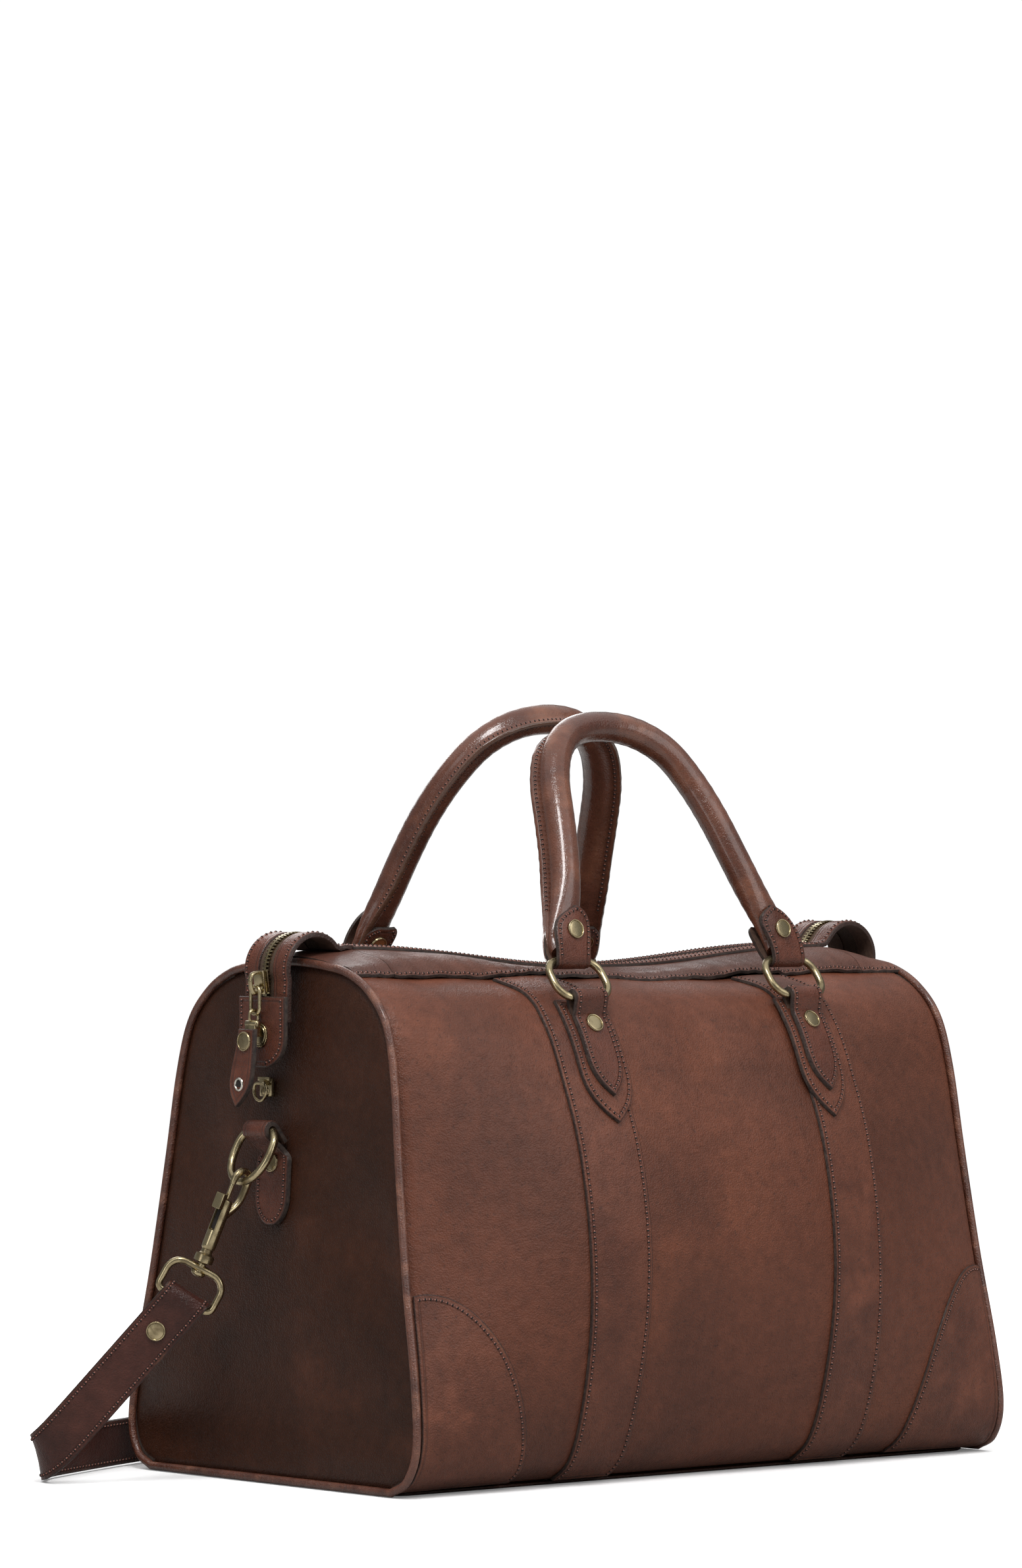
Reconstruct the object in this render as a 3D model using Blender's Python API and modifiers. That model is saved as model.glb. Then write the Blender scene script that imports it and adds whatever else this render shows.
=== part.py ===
"""Leather weekender bag with rolled handles, a zip mouth and a clip-on shoulder strap.

The origin is the centre of the base's underside. X runs along the bag, the front is -Y and Z is up.
Every length is in metres.
"""

import math

import bmesh
import bpy
from mathutils import Matrix, Vector

# Body
HALF_LENGTH = 0.250          # at the base seam
END_LEAN = 1.55 / 30         # the ends lean in by this slope
LEATHER = 0.0025             # thickness of the shell panels
TRIM = 0.002                 # thickness of leather laid on the shell
SEAM_GAP = 0.0005            # clear space between touching pieces
LAID_GAP = 0.0009            # clear space under leather laid on the bulging shell
PIPING_RADIUS = 0.0025
TOP_SEAM = 0.055             # half-width of the zip panel
MOUTH_HALF_LENGTH = 0.200
ZIP_TAPE_EDGE = 0.0135

# Half-width and height of one side, from the base seam up to the top seam.
END_SIDE = [(0.120, 0.003), (0.1345, 0.011), (0.1420, 0.032), (0.1375, 0.072), (0.1255, 0.132),
            (0.1145, 0.200), (0.1070, 0.252), (0.0975, 0.285), (0.0800, 0.305), (0.058, 0.3165)]
MIDDLE_SIDE = [(0.120, 0.003), (0.1390, 0.020), (0.1530, 0.058), (0.1630, 0.108), (0.1640, 0.156),
               (0.1545, 0.208), (0.1370, 0.250), (0.1215, 0.281), (0.1020, 0.302), (0.062, 0.3120)]
BULGE_POWER = 2.6            # how far the front and back keep their fullness towards the ends

# Leather laid on the front and back
BAND_X = 0.101
BAND_WIDTH = 0.046
PATCH_REACH = 0.080          # length of a corner patch along the base
PATCH_HEIGHT = 0.110

# Handles and their rings
HANDLE_X = 0.092
CHAPE_WIDTH = 0.025
RING_WIRE = 0.0025
RING_HALF_WIDTH = 0.0215
RING_CORNER = 0.008
LOWER_BAR = Vector((0, -0.1197, 0.3010))
UPPER_BAR = Vector((0, -0.1030, 0.3240))
TUBE_RADIUS = 0.0105
HANDLE_ROUTE = [(0.0915, -0.0960, 0.336), (0.0880, -0.0930, 0.346), (0.0800, -0.0850, 0.366),
                (0.0725, -0.0750, 0.390), (0.0660, -0.0630, 0.415), (0.0585, -0.0500, 0.438),
                (0.0460, -0.0390, 0.458), (0.0260, -0.0310, 0.470), (0.0, -0.0285, 0.4735)]

# Zip tongues, which arch over each end and snap to it
TONGUE_HALF_WIDTH = 0.0215
TONGUE_THICKNESS = 0.003
ARCH_CENTRE = (0.229, 0.321)
ARCH_RADIUS = 0.0225
TONGUE_FOOT_X = 0.2075
TONGUE_END_Z = 0.284
TAB_END_Z = 0.258
SLIDER_ANGLE = -21.0         # degrees below the arch centre's level, on the outer side
SLIDER_TILT = -8.0           # degrees from upright

# End rings, hooks and strap
END_BAR = Vector((0.2560, 0, 0.2190))
RING_BOTTOM = Vector((0.2720, 0, 0.1875))
AWAY = Vector((0.759, 0.651, 0)).normalized()   # where the strap is pulled, for the right-hand end
HOOK_SLANT = math.radians(21)
FRAME_SLANT = math.radians(28)
STRAP_WIDTH = 0.029
STRAP_THICKNESS = 0.004
HOOK_WIRE = 0.0022
BOW_RADIUS = 0.0068
BARREL_RADIUS = 0.0042
BARREL_TOP = 0.0131          # distances down the hook, from the middle of the ring's lowest point
SHANK_END = 0.060
FRAME_TOP = 0.0630
FRAME_BOTTOM = 0.0850
FRAME_WIDTH = 0.0370
TRIGGER_TRAVEL = 0.007
STRAP_FLOOR = [(0.3560, 0.0790, 0.0215), (0.3630, 0.0870, 0.0163), (0.3600, 0.0985, 0.0153),
               (0.3450, 0.1090, 0.0153), (0.3050, 0.1290, 0.0153), (0.2450, 0.1560, 0.0153),
               (0.1700, 0.1850, 0.0153), (0.0850, 0.2060, 0.0153), (0.0, 0.2130, 0.0153)]

COLOURS = {
    "leather": ((0.085, 0.036, 0.023), 0.42, 0.0),
    "dark_leather": ((0.045, 0.022, 0.016), 0.45, 0.0),
    "edge": ((0.020, 0.012, 0.010), 0.6, 0.0),
    "brass": ((0.36, 0.27, 0.13), 0.35, 1.0),
    "silver": ((0.60, 0.57, 0.50), 0.3, 1.0),
    "tape": ((0.060, 0.038, 0.022), 0.8, 0.0),
    "lining": ((0.10, 0.075, 0.05), 0.85, 0.0),
    "board": ((0.25, 0.20, 0.14), 0.8, 0.0),
}


# ---------------------------------------------------------------- scene and helpers

def clear_scene():
    for item in list(bpy.data.objects):
        bpy.data.objects.remove(item, do_unlink=True)


def new_collection(name):
    found = bpy.data.collections.new(name)
    bpy.context.scene.collection.children.link(found)
    return found


clear_scene()
BAG = new_collection("weekender_bag")
CUTTERS = new_collection("cutters")


def paint(item, colour):
    """Gives the piece a material of its own."""
    rgb, roughness, metallic = COLOURS[colour]
    material = bpy.data.materials.new(item.name + "_" + colour)
    material.use_nodes = True
    shader = material.node_tree.nodes["Principled BSDF"]
    shader.inputs["Base Color"].default_value = (*rgb, 1)
    shader.inputs["Roughness"].default_value = roughness
    shader.inputs["Metallic"].default_value = metallic
    item.data.materials.clear()
    item.data.materials.append(material)


def piece_from(name, bm, colour, pivot=None):
    """A new object from a bmesh in world places, with its origin moved to its pivot."""
    mesh = bpy.data.meshes.new(name)
    if pivot is not None:
        bmesh.ops.translate(bm, verts=bm.verts, vec=-Vector(pivot))
    bm.to_mesh(mesh)
    bm.free()
    mesh.shade_smooth()
    mesh.set_sharp_from_angle(angle=math.radians(40))
    item = bpy.data.objects.new(name, mesh)
    item.location = pivot if pivot is not None else (0, 0, 0)
    BAG.objects.link(item)
    paint(item, colour)
    return item


def grid(rows, close_rows=False):
    """A bmesh surface through rows of points."""
    bm = bmesh.new()
    made = [[bm.verts.new(point) for point in row] for row in rows]
    across = len(rows[0])
    last = across if close_rows else across - 1
    for low, high in zip(made, made[1:]):
        for i in range(last):
            j = (i + 1) % across
            bm.faces.new((low[i], low[j], high[j], high[i]))
    return bm


def thicken(item, thickness, offset):
    solid = item.modifiers.new("thickness", "SOLIDIFY")
    solid.thickness = thickness
    solid.offset = offset
    solid.use_even_offset = True
    return item


def sheet(name, rows, colour, thickness, offset=1.0, pivot=None):
    """A sheet of leather through rows of points, thickened towards its normals."""
    return thicken(piece_from(name, grid(rows), colour, pivot), thickness, offset)


def smooth_route(points, per_span=4):
    """Points along a smooth curve through the given ones."""
    known = [Vector(point) for point in points]
    ends = [2 * known[0] - known[1], *known, 2 * known[-1] - known[-2]]
    route = []
    for a, b, c, d in zip(ends, ends[1:], ends[2:], ends[3:]):
        for step in range(per_span):
            t = step / per_span
            route.append(0.5 * (2 * b + (c - a) * t + (2 * a - 5 * b + 4 * c - d) * t * t
                                + (3 * b - a - 3 * c + d) * t ** 3))
    return route + [known[-1]]


def profile_at(points, t):
    """The point at t, from 0 to 1, on a smooth curve through evenly spaced points."""
    place = min(t, 0.999999) * (len(points) - 1)
    i = int(place)
    f = place - i
    known = [Vector((*point, 0)) for point in points]
    a = known[i - 1] if i > 0 else 2 * known[0] - known[1]
    d = known[i + 2] if i + 2 < len(known) else 2 * known[-1] - known[-2]
    b, c = known[i], known[i + 1]
    found = 0.5 * (2 * b + (c - a) * f + (2 * a - 5 * b + 4 * c - d) * f * f
                   + (3 * b - a - 3 * c + d) * f ** 3)
    return found.x, found.y


def wire(name, points, radius, closed=False, resolution=2):
    """A round wire along points, as a mesh with its caps welded."""
    curve = bpy.data.curves.new(name, "CURVE")
    curve.dimensions = "3D"
    curve.bevel_depth = radius
    curve.bevel_resolution = resolution
    curve.use_fill_caps = not closed
    spline = curve.splines.new("POLY")
    spline.points.add(len(points) - 1)
    for slot, point in zip(spline.points, points):
        slot.co = (*point, 1)
    spline.use_cyclic_u = closed
    holder = bpy.data.objects.new(name + "_curve", curve)
    CUTTERS.objects.link(holder)
    bpy.context.view_layer.update()
    mesh = bpy.data.meshes.new_from_object(holder.evaluated_get(bpy.context.evaluated_depsgraph_get()))
    bm = bmesh.new()
    bm.from_mesh(mesh)
    bm.transform(holder.matrix_world)
    bmesh.ops.remove_doubles(bm, verts=bm.verts, dist=0.00001)
    bmesh.ops.recalc_face_normals(bm, faces=bm.faces)
    bpy.data.objects.remove(holder, do_unlink=True)
    bpy.data.meshes.remove(mesh)
    return bm


def rod_bmesh(centre, axis, radius, length, sides=16):
    """A closed cylinder about any axis."""
    bm = bmesh.new()
    bmesh.ops.create_cone(bm, cap_ends=True, segments=sides, radius1=radius, radius2=radius, depth=length)
    turn = Vector((0, 0, 1)).rotation_difference(Vector(axis)).to_matrix().to_4x4()
    bm.transform(Matrix.Translation(Vector(centre)) @ turn)
    return bm


def box_bmesh(low, high, frame=None):
    """A box between two corners, in the given frame."""
    bm = bmesh.new()
    bmesh.ops.create_cube(bm, size=1)
    low, high = Vector(low), Vector(high)
    size = high - low
    bm.transform(Matrix.Translation((low + high) / 2) @ Matrix.Diagonal((*size, 1)))
    if frame is not None:
        bm.transform(frame)
    return bm


def tool_from(name, bm):
    """A hidden object that only cuts or joins."""
    mesh = bpy.data.meshes.new(name)
    bm.to_mesh(mesh)
    bm.free()
    item = bpy.data.objects.new(name, mesh)
    item.hide_render = True
    item.display_type = "WIRE"
    CUTTERS.objects.link(item)
    return item


def combine(item, bm, operation):
    """Joins a shape to the piece or cuts it away."""
    name = item.name + "_" + operation.lower() + str(len(item.modifiers))
    change = item.modifiers.new(name, "BOOLEAN")
    change.operation = operation
    change.object = tool_from(name, bm)
    return item


def rounded_bevel(item, width, segments=2):
    bevel = item.modifiers.new("rounded", "BEVEL")
    bevel.width = width
    bevel.segments = segments
    bevel.limit_method = "ANGLE"
    return item


# ---------------------------------------------------------------- the body's surface

def end_x(z):
    """Distance from the middle to an end panel at height z."""
    return HALF_LENGTH - END_LEAN * z


def side_point(u, t, lift=0.0, inset=0.0, side=-1):
    """A point on the front (side -1) or back (side 1), u along it from -1 to 1, t up it from 0 to 1."""
    def raw(u_at, t_at):
        blend = 1 - abs(u_at) ** BULGE_POWER
        end_w, end_z = profile_at(END_SIDE, t_at)
        mid_w, mid_z = profile_at(MIDDLE_SIDE, t_at)
        w = end_w + (mid_w - end_w) * blend
        z = end_z + (mid_z - end_z) * blend
        return Vector((u_at * (end_x(z) - inset), side * w, z))

    place = raw(u, t)
    if lift == 0:
        return place
    step = 0.01
    along = raw(u, min(t + step, 1)) - raw(u, max(t - step, 0))
    across = raw(min(u + step, 1), t) - raw(max(u - step, -1), t)
    normal = across.cross(along).normalized()
    if normal.y * side < 0:
        normal.negate()
    return place + normal * lift


def u_of(x, t):
    """The u at which the side surface has the given x."""
    _, z = profile_at(MIDDLE_SIDE, t)
    return x / end_x(z)


def top_height(x):
    """Height of the zip panel's middle, which sags at mid-length and rises towards the ends."""
    rise = min(abs(x) / MOUTH_HALF_LENGTH, 1)
    fall = max(abs(x) - MOUTH_HALF_LENGTH, 0) / (HALF_LENGTH - MOUTH_HALF_LENGTH)
    return 0.3165 + 0.0135 * rise * rise * (3 - 2 * rise) - 0.008 * fall


def top_point(x, y):
    seam = TOP_SEAM
    drop = 0.0085 * (abs(y) / seam) ** 2
    return Vector((x, y, top_height(x) - drop * (0.35 + 0.65 * min(abs(x) / HALF_LENGTH, 1))))


def steps(low, high, count):
    return [low + (high - low) * i / count for i in range(count + 1)]


def make_sides():
    inset = PIPING_RADIUS + SEAM_GAP
    for name, side in (("front_panel", -1), ("back_panel", 1)):
        columns = steps(-1, 1, 14)
        rows = [[side_point(side * -u, t, 0, inset, side) for u in columns] for t in steps(0, 1, 13)]
        sheet(name, rows, "leather", LEATHER, -1.0)


def end_outline(inset, count=13):
    """Half of the end panel's outline, from the base seam to the top middle, as half-widths and heights."""
    half = [profile_at(END_SIDE, t) for t in steps(0, 1, count)]
    half = [(0.105, 0.0015)] + half + [(0.030, 0.3215), (0.0, 0.3232)]
    shrunk = []
    for before, here, after in zip([half[0], *half], half, [*half[1:], half[-1]]):
        along = Vector((after[0] - before[0], after[1] - before[1])).normalized()
        outward = Vector((along.y, -along.x))
        shrunk.append((max(here[0] - outward.x * inset, 0), here[1] - outward.y * inset))
    shrunk[-1] = (0.0, shrunk[-1][1])
    return shrunk


def make_ends():
    for name, sign in (("left_end_panel", -1), ("right_end_panel", 1)):
        outline = end_outline(PIPING_RADIUS + 2 * LAID_GAP)
        rows = []
        for fraction in (-1, -0.6, 0, 0.6, 1):
            row = []
            for w, z in outline:
                fullness = 0.004 * (1 - fraction ** 2) * math.sin(math.pi * min(max(z / 0.32, 0), 1))
                row.append(Vector((sign * (end_x(z) + fullness), fraction * w, z)))
            rows.append(row)
        bm = grid(rows[::-1] if sign > 0 else rows)
        bmesh.ops.remove_doubles(bm, verts=bm.verts, dist=0.00001)
        thicken(piece_from(name, bm, "dark_leather"), LEATHER, -1.0)


def make_piping():
    for name, sign in (("left_piping", -1), ("right_piping", 1)):
        half = end_outline(0.0)[1:]
        half = [(0.085, 0.0028), (0.106, 0.0028), *half]
        ring = [Vector((sign * end_x(z), w, z)) for w, z in half]
        ring += [Vector((sign * end_x(z), -w, z)) for w, z in half[-2::-1]]
        piece_from(name, wire(name, ring, PIPING_RADIUS - 0.0001, resolution=1), "leather")


def make_base():
    low, high = (-0.2435, -0.1155, 0.0), (0.2435, 0.1155, LEATHER)
    item = piece_from("base_panel", box_bmesh(low, high), "dark_leather")
    rounded_bevel(item, 0.0008, 1)
    board = box_bmesh((-0.236, -0.108, LEATHER + 0.0005), (0.236, 0.108, LEATHER + 0.003))
    piece_from("base_board", board, "board")


def make_lining():
    rows = []
    inset = 0.0045
    for t in steps(0.06, 0.955, 9):
        end_w, end_z = profile_at(END_SIDE, t)
        ring = []
        for side in (-1, 1):
            for u in steps(-1, 1, 8):
                place = side_point(-side * u * 0.975, t, -inset, 0, side)
                ring.append(Vector((place.x, place.y, max(place.z, 0.0085))))
        rows.append(ring)
    bm = grid(rows, close_rows=True)
    bm.verts.ensure_lookup_table()
    bm.faces.new(bm.verts[:18][::-1])
    bmesh.ops.recalc_face_normals(bm, faces=bm.faces)
    bmesh.ops.triangulate(bm, faces=[face for face in bm.faces if len(face.verts) > 4])
    thicken(piece_from("lining", bm, "lining"), 0.001, -1.0)


def laid_rows(x_low_of, x_high_of, t_low, t_high, lift, side, rows=9, columns=3):
    """Rows of points for leather that lies on the front or back."""
    found = []
    for t in steps(t_low, t_high, rows):
        low, high = x_low_of(t), x_high_of(t)
        line = [side_point(u_of(x, t), t, lift, 0, side) for x in steps(low, high, columns)]
        found.append(line if side < 0 else line[::-1])
    return found


def make_pocket():
    rows = laid_rows(lambda t: -0.12, lambda t: 0.12, 0.35, 0.72, -0.0085, 1, 4, 6)
    sheet("inner_pocket", rows, "lining", 0.001, -1.0)


def make_bands():
    for face, side in (("front", -1), ("back", 1)):
        for end, sign in (("left", -1), ("right", 1)):
            middle = sign * BAND_X
            rows = laid_rows(lambda t: middle - BAND_WIDTH / 2, lambda t: middle + BAND_WIDTH / 2,
                             0.012, 0.975, LAID_GAP, side, 14, 2)
            sheet(f"{face}_{end}_band", rows, "leather", TRIM)


def make_corner_patches():
    """Quarter-round patches over the four lower corners."""
    t_top = 0.38
    for face, side in (("front", -1), ("back", 1)):
        for end, sign in (("left", -1), ("right", 1)):
            def inner(t):
                fraction = (t - 0.02) / (t_top - 0.02)
                reach = PATCH_REACH * math.sqrt(max(1 - fraction ** 2.2, 0.0)) + 0.004
                return 0.2455 - reach

            def outer(t):
                z = side_point(1, t).z
                return end_x(z) - 0.0040

            low, high = (inner, outer) if sign > 0 else (lambda t: -outer(t), lambda t: -inner(t))
            rows = laid_rows(low, high, 0.02, t_top, LAID_GAP, side, 9, 4)
            sheet(f"{face}_{end}_corner_patch", rows, "leather", TRIM)


# ---------------------------------------------------------------- mouth, zip and tongues

def make_mouth():
    for face, side in (("front", -1), ("back", 1)):
        hinge = (0, side * (TOP_SEAM + 0.0025), 0.3165)
        xs = steps(-MOUTH_HALF_LENGTH, MOUTH_HALF_LENGTH, 10)
        for name, near, far, colour, thickness in (
                (f"{face}_mouth_panel", ZIP_TAPE_EDGE + SEAM_GAP, TOP_SEAM, "leather", 0.003),
                (f"{face}_zip_tape", 0.0012, ZIP_TAPE_EDGE, "tape", 0.0025)):
            rows = [[top_point(x, side * y) for x in xs] for y in steps(near, far, 2)]
            if side < 0:
                rows.reverse()
            sheet(name, rows, colour, thickness, -1.0, pivot=hinge)


def make_top_ends():
    for name, sign in (("left_top_panel", -1), ("right_top_panel", 1)):
        low, high = MOUTH_HALF_LENGTH + 0.0015, 0.2295
        xs = steps(low, high, 3)
        ys = steps(-TOP_SEAM, TOP_SEAM, 6)
        rows = [[top_point(sign * x, y) for x in xs] for y in ys]
        sheet(name, rows if sign > 0 else rows[::-1], "leather", LEATHER, -1.0)


def tongue_path(from_z=None):
    """The tongue's middle line from its foot over the arch to its end, as x and z for the right end."""
    cx, cz = ARCH_CENTRE
    path = []
    for angle in steps(148, SLIDER_ANGLE, 11):
        a = math.radians(angle)
        path.append((cx + ARCH_RADIUS * math.cos(a), cz + ARCH_RADIUS * math.sin(a)))
    x_end = path[-1][0]
    for z in steps(path[-1][1], TONGUE_END_Z, 3)[1:]:
        path.append((x_end + 0.0008, z))
    return path


def make_tongues():
    for end, sign in (("left", -1), ("right", 1)):
        foot = (sign * TONGUE_FOOT_X, 0, 0.334)
        rows = []
        for x, z in tongue_path():
            rows.append([Vector((sign * x, y, z)) for y in (-TONGUE_HALF_WIDTH, 0, TONGUE_HALF_WIDTH)])
        sheet(f"{end}_tongue", rows if sign > 0 else rows[::-1], "leather", TONGUE_THICKNESS, 0.0, pivot=foot)
        make_tongue_tab(end, sign, foot)


def make_tongue_tab(end, sign, foot):
    """The stitched leather end of a tongue, with the cap of its snap."""
    x = 0.2554
    low_z, high_z = TAB_END_Z, 0.3015
    rows = []
    for z in steps(high_z, low_z, 10):
        below = max(0.279 - z, 0) / (0.279 - low_z)
        half = 0.0225 * math.sqrt(max(1 - (0.93 * below) ** 3, 0.05))
        rows.append([Vector((sign * x, y, z)) for y in (-half, 0, half)])
    tab = sheet(f"{end}_tongue_tab", rows if sign > 0 else rows[::-1], "leather", 0.0032, 0.0, pivot=foot)
    cap = rod_bmesh((sign * (x + 0.0018), 0, 0.278), (1, 0, 0), 0.0068, 0.004, 20)
    cap.transform(Matrix.Translation(-Vector(foot)))
    tool = combine(tab, cap, "UNION").modifiers[-1].object
    tool.location = foot


def arch_frame(sign, angle, radius):
    """A point outside the arch at an angle, for one end."""
    cx, cz = ARCH_CENTRE
    a = math.radians(angle)
    return Vector((sign * (cx + radius * math.cos(a)), 0, cz + radius * math.sin(a)))


def make_slider():
    """Slider body on the left tongue, with the arched bridge that holds the pull."""
    pivot = Vector((-ARCH_CENTRE[0], 0, ARCH_CENTRE[1]))
    middle = arch_frame(-1, SLIDER_ANGLE, ARCH_RADIUS + 0.0063)
    tilt = Matrix.Translation(middle) @ Matrix.Rotation(math.radians(SLIDER_TILT), 4, "Y")
    body = box_bmesh((-0.0020, -0.0055, -0.0075), (0.0020, 0.0055, 0.0075), tilt)
    bridge_route = [(0.0010, 0, 0.0055), (-0.0060, 0, 0.0050), (-0.0085, 0, 0.0015),
                    (-0.0085, 0, -0.0025), (-0.0060, 0, -0.0055), (0.0010, 0, -0.0060)]
    bridge = wire("bridge", [tilt @ Vector(p) for p in bridge_route], 0.0012)
    for part in (body, bridge):
        bmesh.ops.translate(part, verts=part.verts, vec=-pivot)
    item = piece_from("zip_slider", body, "brass")
    item.location = pivot
    combine(item, bridge, "UNION").modifiers[-1].object.location = pivot


LINK_X = -0.2606
LINK_PIVOT = Vector((LINK_X, 0, 0.3080))
PULL_PIVOT = Vector((LINK_X, 0, 0.2910))


def rounded_loop(width, height, corner, count=3):
    """A rounded rectangle's points about the origin, width first."""
    points = []
    for cx, cy, start in ((1, 1, 0), (-1, 1, 90), (-1, -1, 180), (1, -1, 270)):
        for step in range(count + 1):
            a = math.radians(start + 90 * step / count)
            points.append((cx * (width / 2 - corner) + corner * math.cos(a),
                           cy * (height / 2 - corner) + corner * math.sin(a)))
    return points


def make_pull():
    """Link, clasp and leather puller that hang from the slider."""
    link = [Vector((LINK_X, y, 0.2995 + z)) for y, z in rounded_loop(0.0085, 0.0170, 0.0035)]
    piece_from("zip_link", wire("zip_link", link, 0.0011, closed=True), "brass", LINK_PIVOT)
    clasp = box_bmesh((LINK_X - 0.0044, -0.0050, 0.2770), (LINK_X, 0.0050, 0.2872))
    clasp_item = piece_from("zip_clasp", clasp, "brass", PULL_PIVOT)
    neck = [Vector((LINK_X - 0.0012 + x, 0, 0.2897 + z)) for x, z in rounded_loop(0.0068, 0.0074, 0.0028)]
    neck_wire = wire("neck", neck, 0.0009, closed=True)
    bmesh.ops.translate(neck_wire, verts=neck_wire.verts, vec=-PULL_PIVOT)
    combine(clasp_item, neck_wire, "UNION").modifiers[-1].object.location = PULL_PIVOT
    rows = []
    for z in steps(0.2764, 0.2360, 9):
        fraction = (0.2764 - z) / 0.0404
        half = 0.0078 + 0.0022 * math.sin(math.pi * fraction * 0.9)
        if fraction > 0.7:
            half *= math.sqrt(max(1 - ((fraction - 0.7) / 0.3) ** 2 * 0.95, 0.04))
        rows.append([Vector((LINK_X - 0.0058, y, z)) for y in (-half, 0, half)])
    sheet("zip_puller", rows, "leather", 0.0034, 0.0, pivot=PULL_PIVOT)


def make_lock_staple():
    """The small plate with a ring, below the tongue on the left end."""
    wall = -end_x(0.2500) - 0.0046
    plate = box_bmesh((wall - 0.0016, -0.0060, 0.2425), (wall, 0.0060, 0.2535))
    item = piece_from("lock_staple", plate, "brass")
    rounded_bevel(item, 0.0006, 1)
    knuckle_z = 0.2510
    ears = box_bmesh((wall - 0.0040, -0.0020, knuckle_z - 0.0016), (wall - 0.0010, 0.0020, knuckle_z + 0.0016))
    combine(item, ears, "UNION")
    ring = [Vector((wall - 0.0058, y, 0.2452 + z)) for y, z in rounded_loop(0.0130, 0.0125, 0.0050)]
    piece_from("lock_ring", wire("lock_ring", ring, 0.0009, closed=True), "brass",
               (wall - 0.0058, 0, knuckle_z))


# ---------------------------------------------------------------- handles

def teardrop(bar, up, length, radius, half_width, half_leg):
    """A folded tab around a bar: a rod with a flat leg, ready to be drilled."""
    rod = rod_bmesh(bar, (1, 0, 0), radius, 2 * half_width, 16)
    side = Vector((1, 0, 0))
    thick = side.cross(up).normalized()
    frame = Matrix((side, thick, up)).transposed().to_4x4()
    frame.translation = bar
    leg = box_bmesh((-half_width, -half_leg, 0), (half_width, half_leg, length), frame)
    return rod, leg


def make_chapes():
    """Backing patch, folded loop tab and ring at each of the handles' four feet."""
    for face, side in (("front", -1), ("back", 1)):
        for end, sign in (("left", -1), ("right", 1)):
            x = sign * HANDLE_X
            lower = Vector((x, -side * LOWER_BAR.y, LOWER_BAR.z))
            upper = Vector((x, -side * UPPER_BAR.y, UPPER_BAR.z))
            make_backing(f"{face}_{end}_chape_backing", x, side)
            make_chape(f"{face}_{end}_chape", x, side, lower)
            along = (upper - lower).normalized()
            middle = (upper + lower) / 2
            height = (upper - lower).length
            loop = [middle + Vector((w, 0, 0)) + along * h
                    for w, h in rounded_loop(2 * RING_HALF_WIDTH, height, RING_CORNER)]
            name = f"{face}_{end}_handle_ring"
            piece_from(name, wire(name, loop, RING_WIRE, closed=True), "brass", lower)


def pointed(t, t_tip, t_round, half):
    """Half-width of a tab that narrows to a rounded point between t_round and t_tip."""
    if t >= t_round:
        return half
    fraction = (t_round - t) / (t_round - t_tip)
    return half * max(1 - fraction ** 1.8, 0.06)


def make_backing(name, x, side):
    t_tip, t_high = 0.635, 0.845
    rows = laid_rows(lambda t: x - pointed(t, t_tip, 0.70, 0.0185), lambda t: x + pointed(t, t_tip, 0.70, 0.0185),
                     t_tip, t_high, TRIM + 2 * LAID_GAP, side, 9, 2)
    sheet(name, rows, "leather", TRIM)


def make_chape(name, x, side, bar):
    """The loop tab: pointed leaf on the front, joined to a sleeve round the ring's lower bar."""
    t_tip, t_high = 0.665, 0.825
    lift = 2 * TRIM + 3 * LAID_GAP
    half = CHAPE_WIDTH / 2
    rows = laid_rows(lambda t: x - pointed(t, t_tip, 0.72, half), lambda t: x + pointed(t, t_tip, 0.72, half),
                     t_tip, t_high, lift, side, 8, 2)
    item = sheet(name, rows, "leather", 0.003)
    root = side_point(u_of(x, 0.80), 0.80, lift + 0.0020, 0, side)
    root.x = x
    up = (bar - root).normalized()
    rod, leg = teardrop(bar, -up, (bar - root).length, 0.0052, half, 0.0013)
    combine(item, leg, "UNION")
    combine(item, rod, "UNION")
    combine(item, rod_bmesh(bar, (1, 0, 0), 0.0033, CHAPE_WIDTH + 0.01, 16), "DIFFERENCE")


def make_handles():
    for face, side in (("front", -1), ("back", 1)):
        route = [Vector((x, -side * y, z)) for x, y, z in HANDLE_ROUTE]
        full = route + [Vector((-p.x, p.y, p.z)) for p in route[-2::-1]]
        points = smooth_route(full, 2)
        pivot = Vector((0, -side * UPPER_BAR.y, UPPER_BAR.z))
        tube = wire("tube", points, TUBE_RADIUS)
        bmesh.ops.translate(tube, verts=tube.verts, vec=-pivot)
        item = piece_from(f"{face}_handle", tube, "leather")
        item.location = pivot
        for sign in (-1, 1):
            bar = Vector((sign * HANDLE_X, 0, 0))
            foot = Vector((sign * route[1].x, route[1].y, route[1].z)) - pivot
            up = (foot - bar)
            up.x = 0
            up.normalize()
            rod, leg = teardrop(bar, up, 0.026, 0.0052, 0.0125, 0.0045)
            for shape, operation in ((leg, "UNION"), (rod, "UNION"),
                                     (rod_bmesh(bar, (1, 0, 0), 0.0033, 0.05, 16), "DIFFERENCE")):
                combine(item, shape, operation).modifiers[-1].object.location = pivot


# ---------------------------------------------------------------- shoulder strap and its clips

def strap_frame(sign):
    """Origin and axes of one clip: down the shank, out from the ring, towards the strap's face, along the bars."""
    away = Vector((sign * AWAY.x, AWAY.y, 0))
    down = away * math.sin(HOOK_SLANT) + Vector((0, 0, -math.cos(HOOK_SLANT)))
    face = (Vector((0, 0, 1)).cross(away) * -sign).normalized()
    bars = (down.cross(face) * -sign).normalized()
    out = (Vector((0, 1, 0)).cross(down) * -sign).normalized()
    origin = Vector((sign * RING_BOTTOM.x, RING_BOTTOM.y, RING_BOTTOM.z))
    return origin, down, out, face, bars


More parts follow.
